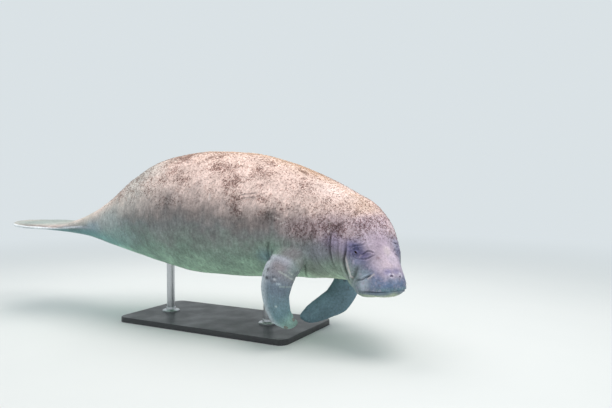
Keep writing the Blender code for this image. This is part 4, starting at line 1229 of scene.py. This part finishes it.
def bristle_material():
    s = Shading("bristle")
    place = s.value_of("place", "Vector")
    colour = s.mix(s.noise(place, 400.0), (0.30, 0.27, 0.24, 1), (0.52, 0.47, 0.42, 1))
    return s.finish(Base_Color=colour, Roughness=0.45)


def eye_material():
    """A dark brown iris round a black pupil, and a dark rim, under a wet surface."""
    s = Shading("eye_wet")
    off_axis = s.value_of("off_axis")
    fibres = s.noise(s.value_of("place", "Vector"), 900.0, 3.0)
    iris = s.mix(fibres, (0.012, 0.006, 0.004, 1), (0.045, 0.021, 0.011, 1))
    colour = s.mix(s.ramp(off_axis, 0.26, 0.32), (0.003, 0.003, 0.004, 1), iris)
    colour = s.mix(s.ramp(off_axis, 0.62, 0.76), colour, (0.020, 0.016, 0.018, 1))
    s.shader.inputs["Specular IOR Level"].default_value = 0.12
    return s.finish(Base_Color=colour, Roughness=0.06)


def nail_material():
    s = Shading("nail")
    place = s.value_of("place", "Vector")
    colour = s.mix(s.noise(place, 160.0, 4.0), (0.100, 0.110, 0.100, 1), (0.240, 0.250, 0.210, 1))
    ridges = s.bump(s.noise(s.stretched(place, (60.0, 60.0, 700.0)), 1.0), 0.0004, 0.4)
    return s.finish(Base_Color=colour, Roughness=0.38, Normal=ridges)


def base_material():
    """Dark satin lacquer over wood, with faint grain along its length."""
    s = Shading("stand_lacquer")
    where = s.node("ShaderNodeTexCoord").outputs["Object"]
    grain = s.noise(s.stretched(where, (3.0, 60.0, 60.0)), 1.0, 6.0, 0.6)
    colour = s.mix(grain, (0.020, 0.021, 0.024, 1), (0.050, 0.050, 0.054, 1))
    rough = s.between(s.noise(where, 9.0, 4.0), 0.3, 0.7, 0.32, 0.50)
    return s.finish(Base_Color=colour, Roughness=rough, Normal=s.bump(grain, 0.0006, 0.35))


def rod_material():
    """Steel, brushed round the rod."""
    s = Shading("stand_steel")
    where = s.node("ShaderNodeTexCoord").outputs["Object"]
    brushed = s.noise(s.stretched(where, (25.0, 25.0, 900.0)), 1.0, 3.0)
    colour = s.mix(brushed, (0.46, 0.47, 0.49, 1), (0.62, 0.63, 0.65, 1))
    s.shader.inputs["Metallic"].default_value = 1.0
    rough = s.between(brushed, 0.3, 0.7, 0.26, 0.42)
    return s.finish(Base_Color=colour, Roughness=rough, Normal=s.bump(brushed, 0.0003, 0.4))


# Coat


def spikes(name, roots, ways, leans, lengths, widths, places, tints, material):
    """Thin closed spikes, each a three-sided stem that bends over, joined in one mesh. Each has a
    small patch of the bake map at its root's place on the unrolled skin."""
    count = len(roots)
    side = np.cross(ways, leans)
    side /= np.maximum(np.linalg.norm(side, axis=1, keepdims=True), 1e-6)
    third = np.cross(ways, side)
    turns = [2 * math.pi * k / 3 for k in range(3)]
    rows = []
    for rise, bend, width in ((-0.12, 0.0, 1.0), (0.55, 0.25, 0.75)):
        middle = roots + ways * (lengths * rise)[:, None] + leans * (lengths * bend)[:, None]
        for turn in turns:
            rows.append(middle + (side * math.cos(turn) + third * math.sin(turn)) * (widths * width / 2)[:, None])
    rows.append(roots + ways * (lengths * 0.9)[:, None] + leans * (lengths * 0.75)[:, None])
    points = np.stack(rows, 1).reshape(-1, 3)
    pattern = [(2, 1, 0)]
    for a in range(3):
        b = (a + 1) % 3
        pattern += [(a, b, b + 3), (a, b + 3, a + 3), (a + 3, b + 3, 6)]
    faces = (np.array(pattern)[None] + 7 * np.arange(count)[:, None, None]).reshape(-1, 3)
    obj = mesh_object(name, points, faces, material)
    unrolled = np.stack([places[:, 0] / BODY_LENGTH, 0.5 + np.arctan2(places[:, 1], places[:, 2]) / (2 * math.pi)], -1)
    corners = np.array([(0, 0), (1, 0), (0.5, 1), (0.2, 0.2), (0.8, 0.2), (0.5, 0.8), (0.5, 0.45)]) - 0.5
    uvs = (unrolled[:, None] + corners[None] * BAKE_PATCH).reshape(-1, 2)
    layer = obj.data.uv_layers.new(name="OFBake")
    layer.data.foreach_set("uv", uvs[faces.ravel()].astype(np.float32).ravel())
    set_value(obj.data, "place", np.repeat(places, 7, axis=0))
    if tints is not None:
        shade = np.tile([0.7, 0.7, 0.7, 1.0, 1.0, 1.0, 1.15], count)[:, None]
        set_value(obj.data, "tint", np.repeat(tints, 7, axis=0) * shade)
    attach(obj, "root")
    return obj


def skin_samples(skin_obj, weigh, count, rng):
    """Random spots of the skin, drawn by area and by a weight of their place: points, normals, places."""
    mesh = skin_obj.data
    mesh.calc_loop_triangles()
    triangles = np.empty(len(mesh.loop_triangles) * 3, np.int32)
    mesh.loop_triangles.foreach_get("vertices", triangles)
    triangles = triangles.reshape(-1, 3)
    points, normals = points_of(mesh), normals_of(mesh)
    corners = points[triangles]
    area = np.linalg.norm(np.cross(corners[:, 1] - corners[:, 0], corners[:, 2] - corners[:, 0]), axis=1)
    places = straight(corners.mean(1))
    chance = area * weigh(places)
    picked = rng.choice(len(triangles), size=count, p=chance / chance.sum())
    mix = rng.dirichlet((1, 1, 1), size=count)[..., None]
    spot = (points[triangles[picked]] * mix).sum(1)
    way = (normals[triangles[picked]] * mix).sum(1)
    way /= np.linalg.norm(way, axis=1, keepdims=True)
    return spot, way, straight(spot)


def lie_of(places, ways):
    """The way the coat lies: towards the tail and a little down, along the skin."""
    _, _, heading = spine(places[:, 0])
    back = -np.stack([np.cos(heading), np.sin(heading), np.full(len(heading), 0.35)], -1)
    back -= ways * (back * ways).sum(1, keepdims=True)
    return back / np.maximum(np.linalg.norm(back, axis=1, keepdims=True), 1e-6)


def make_algae(skin_obj, material):
    """Short tufts of brown algae over the back and the top of the head, thickest in patches."""
    rng = np.random.default_rng(7)

    def weigh(places):
        angle = height_angle(places)
        on_back = smooth_step(0.62, 0.90, places[:, 0]) * smooth_step(2.70, 2.62, places[:, 0])
        thin = (0.035 * smooth_step(10, 45, angle) + 0.05 * smooth_step(76, 88, angle)) * on_back
        return (thin + algae_amount(places)) * (places[:, 2] > -0.05)

    spot, way, place = skin_samples(skin_obj, weigh, ALGAE_TUFTS, rng)
    lie = lie_of(place, way)
    thick = algae_amount(place)
    order = np.argsort(place[:, 0])
    below = skin_tint(place, ())
    dark, light, ginger = (np.array(c) for c in ((0.38, 0.29, 0.28), (0.92, 0.80, 0.77), (0.900, 0.660, 0.480)))
    crest = (smooth_step(74, 88, height_angle(place)) * smooth_step(2.58, 2.45, place[:, 0]))[:, None]
    for piece, chosen in enumerate(np.array_split(order, ALGAE_PIECES)):
        root = np.repeat(spot[chosen], BLADES, axis=0)
        up = np.repeat(way[chosen], BLADES, axis=0)
        lean = np.repeat(lie[chosen], BLADES, axis=0)
        count = len(root)
        across = np.cross(up, lean)
        spread = rng.uniform(-1, 1, (count, 2))
        root = root + (across * spread[:, :1] + lean * spread[:, 1:]) * 0.0035
        lean = lean + across * rng.uniform(-0.9, 0.9, (count, 1))
        lean /= np.linalg.norm(lean, axis=1, keepdims=True)
        stand = up + lean * rng.uniform(-0.2, 0.6, (count, 1)) + across * rng.uniform(-0.4, 0.4, (count, 1))
        stand /= np.linalg.norm(stand, axis=1, keepdims=True)
        size = np.repeat(0.0030 + 0.0030 * thick[chosen], BLADES) * rng.uniform(0.6, 1.4, count)
        size += 0.0045 * np.repeat(crest[chosen, 0], BLADES) * rng.uniform(0, 1, count) ** 2
        width = rng.uniform(0.0009, 0.0019, count)
        shade = np.repeat(rng.uniform(0, 1, len(chosen)) ** 1.3, BLADES)[:, None]
        tints = np.repeat(below[chosen], BLADES, axis=0) * (dark + (light - dark) * shade)
        tints += (ginger - tints) * 0.75 * np.repeat(crest[chosen], BLADES, axis=0)
        places = np.repeat(place[chosen], BLADES, axis=0)
        obj = spikes(f"algae_{piece}", root, stand, lean, size, width, places, tints, material)


def make_bristles(skin_obj, material):
    """Stiff bristles on the lips."""
    rng = np.random.default_rng(11)

    def weigh(places):
        lips = smooth_step(2.68, 2.74, places[:, 0]) * smooth_step(-0.150, -0.175, places[:, 2])
        lips = lips * (1 - 0.6 * smooth_step(2.77, 2.80, places[:, 0]))
        return lips * (np.abs(places[:, 2] - mouth_height(places[:, 0])) > 0.013)

    spot, way, place = skin_samples(skin_obj, weigh, BRISTLES, rng)
    down = np.tile((0.0, 0.0, -1.0), (BRISTLES, 1))
    down -= way * (down * way).sum(1, keepdims=True)
    down /= np.maximum(np.linalg.norm(down, axis=1, keepdims=True), 1e-6)
    length = rng.uniform(0.0020, 0.0040, BRISTLES)
    obj = spikes("bristles", spot, way + down, down, length, np.full(BRISTLES, 0.0009), place, None, material)


def make_hairs(skin_obj, material):
    """Single fine hairs, far apart over the whole body."""
    rng = np.random.default_rng(13)

    def weigh(places):
        return (places[:, 0] > 0.6) & (places[:, 2] > -0.20) & (body_measure(places) < 1.1)

    spot, way, place = skin_samples(skin_obj, weigh, HAIRS, rng)
    lie = lie_of(place, way)
    length = rng.uniform(0.008, 0.016, HAIRS)
    obj = spikes("body_hairs", spot, way * 0.6 + lie * 0.8, lie, length, np.full(HAIRS, 0.0005), place, None, material)


# Eyes and nails


def ball(rings, around):
    """Points of a round ball of radius 1 with its pole along +Z, in rings between its poles."""
    polar = np.linspace(0, math.pi, rings + 1)[1:-1]
    turns = np.linspace(0, 2 * math.pi, around, endpoint=False)
    grid_p, grid_t = np.meshgrid(polar, turns, indexing="ij")
    sides = np.stack([np.sin(grid_p) * np.cos(grid_t), np.sin(grid_p) * np.sin(grid_t), np.cos(grid_p)], -1)
    return sides


def make_eyes(material):
    for side, centre, ahead, up, out in eye_frames():
        label = "left" if side > 0 else "right"
        sides = ball(28, 40)
        off_axis = np.arccos(np.clip(sides[..., 2], -1, 1))
        reach = EYE_RADIUS * (0.985 + 0.015 * np.exp(-((off_axis / 0.45) ** 2)))
        local = sides * reach[..., None]
        points = centre + local[..., :1] * ahead + local[..., 1:2] * up + local[..., 2:] * out
        obj = grid_object(f"eyeball_{label}", points)
        made = points_of(obj.data) - centre
        cosine = (made @ out) / np.linalg.norm(made, axis=1)
        set_value(obj.data, "off_axis", np.arccos(np.clip(cosine, -1, 1)))
        set_value(obj.data, "place", made)
        obj.data.shade_smooth()
        obj.data.materials.append(material)
        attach(obj, "root")
        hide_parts(f"eye_{label}")


def make_nails(material):
    """Three nails near the tip of each flipper."""
    for label, limb in (("right", RIGHT_FLIPPER), ("left", LEFT_FLIPPER)):
        at, along, face, lead, breadth, thickness = flipper_frames(limb, 400)
        run = np.linspace(0, 1, 400)
        k = int(np.searchsorted(1 - (1 - run) ** 1.4, NAIL_PLACE))
        for i, share in enumerate(NAIL_SHARES):
            root = at[k] + lead[k] * breadth[k] * share * 1.25 + along[k] * 0.022 * (1 - share**2)
            root = root + face[k] * thickness[k] * 0.55
            sides = ball(18, 28)
            ridged = 1 + 0.03 * np.cos(np.arctan2(sides[..., 1], sides[..., 0]) * 14)
            wide, thick, long = NAIL_HALF
            arch = 1 - 0.35 * sides[..., 0] ** 2
            points = root + sides[..., :1] * lead[k] * wide + (sides[..., 1:2] * (ridged * arch)[..., None]) * face[k] * thick
            points = points + sides[..., 2:] * along[k] * long
            obj = grid_object(f"nail_{label}_{i}", points)
            set_value(obj.data, "place", points_of(obj.data) - root)
            obj.data.shade_smooth()
            obj.data.materials.append(material)
            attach(obj, "root")


# Stand and stage


COLLAR_PROFILE = ((0.0245, 0.0), (0.052, 0.0), (0.052, 0.005), (0.049, 0.008), (0.034, 0.010), (0.030, 0.013), (0.028, 0.026), (0.0245, 0.028))


def make_collars(material):
    """A steel collar at the foot of each rod, turned from one profile."""
    for label in ("front", "rear"):
        low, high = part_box(f"stand_rod_{label}")
        x, y = (low.x + high.x) / 2, (low.y + high.y) / 2
        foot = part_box("stand_base")[1].z + 0.0002
        turns = np.linspace(0, 2 * math.pi, 48, endpoint=False)
        profile = COLLAR_PROFILE + COLLAR_PROFILE[:1]
        rings = np.array([[(x + r * math.cos(t), y + r * math.sin(t), foot + z) for t in turns] for r, z in profile[:-1]])
        count, around = rings.shape[:2]
        i, j = np.meshgrid(np.arange(count), np.arange(around), indexing="ij")
        n, k = (i + 1) % count, (j + 1) % around
        faces = np.stack([i * around + j, i * around + k, n * around + k, n * around + j], -1).reshape(-1, 4)
        obj = mesh_object(f"stand_collar_{label}", rings.reshape(-1, 3), faces, material)
        obj.data.set_sharp_from_angle(angle=math.radians(35))
        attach(obj, "root")


def finish_stand(nodes):
    lacquer, steel = base_material(), rod_material()
    for name, material in (("stand_base", lacquer), ("stand_rod_front", steel), ("stand_rod_rear", steel)):
        nodes[name].data.materials.clear()
        nodes[name].data.materials.append(material)
    make_collars(steel)


def floor_material():
    """Pale matt floor, which fades into the bright surroundings far from the model."""
    s = Shading("floor_pale")
    where = s.node("ShaderNodeTexCoord").outputs["Object"]
    colour = s.mix(s.noise(where, 1.2, 4.0), (0.70, 0.72, 0.71, 1), (0.74, 0.75, 0.74, 1))
    s.finish(Base_Color=colour, Roughness=0.9)
    distance = s.node("ShaderNodeVectorMath", {0: where}, operation="LENGTH").outputs["Value"]
    glow = s.node("ShaderNodeEmission", {"Color": SURROUNDINGS, "Strength": SURROUNDINGS_STRENGTH})
    far = s.node("ShaderNodeMixShader", {0: s.ramp(distance, 1.8, 6.5)})
    s.put(far.inputs[1], s.shader.outputs[0])
    s.put(far.inputs[2], glow.outputs[0])
    s.put(s.tree.nodes["Material Output"].inputs["Surface"], far.outputs[0])
    return s.material


def make_floor():
    turns = np.linspace(0, 2 * math.pi, 96, endpoint=False)
    points = np.array([(30 * math.cos(t), 30 * math.sin(t), -0.0005) for t in turns])
    floor = mesh_object("floor", points, np.arange(96)[None], floor_material())


def make_world():
    world = bpy.data.worlds.new("studio")
    world.use_nodes = True
    background = world.node_tree.nodes["Background"]
    background.inputs["Color"].default_value = SURROUNDINGS
    background.inputs["Strength"].default_value = SURROUNDINGS_STRENGTH
    bpy.context.scene.world = world


# Surroundings: colour and strength
SURROUNDINGS = (0.74, 0.80, 0.83, 1)
SURROUNDINGS_STRENGTH = 0.95

# Lights: place, what it looks at, size, power and colour
LIGHTS = {
    "key": ((1.8, -0.4, 3.6), (0.3, 0.0, 0.6), 2.0, 62, (1.0, 0.95, 0.91)),
    "top": ((-1.0, 0.6, 3.4), (-0.3, 0.0, 0.6), 2.4, 48, (1.0, 0.95, 0.91)),
}


def make_lights():
    for name, (place, target, size, power, colour) in LIGHTS.items():
        data = bpy.data.lights.new(name, "AREA")
        data.size = size
        data.energy = power
        data.color = colour
        lamp = bpy.data.objects.new(name, data)
        lamp.location = place
        lamp.rotation_euler = (Vector(target) - Vector(place)).to_track_quat("-Z", "Y").to_euler()
        bpy.context.scene.collection.objects.link(lamp)


def make_camera():
    data = bpy.data.cameras.new("camera")
    data.sensor_width = SENSOR_WIDTH
    data.lens = FOCAL_LENGTH
    camera = bpy.data.objects.new("camera", data)
    camera.location = CAMERA_PLACE
    camera.rotation_euler = (math.pi / 2 + CAMERA_PITCH, 0, CAMERA_HEADING)
    bpy.context.scene.collection.objects.link(camera)
    bpy.context.scene.camera = camera


def main():
    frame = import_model()
    SIZES["body_height"] = body_height()
    bpy.context.scene.view_settings.view_transform = "Standard"
    skin_obj = make_skin(skin_material())
    make_algae(skin_obj, algae_material())
    bristle = bristle_material()
    make_bristles(skin_obj, bristle)
    make_hairs(skin_obj, bristle)
    make_eyes(eye_material())
    make_nails(nail_material())
    finish_stand(frame["nodes"])
    make_floor()
    make_world()
    make_lights()
    make_camera()


main()
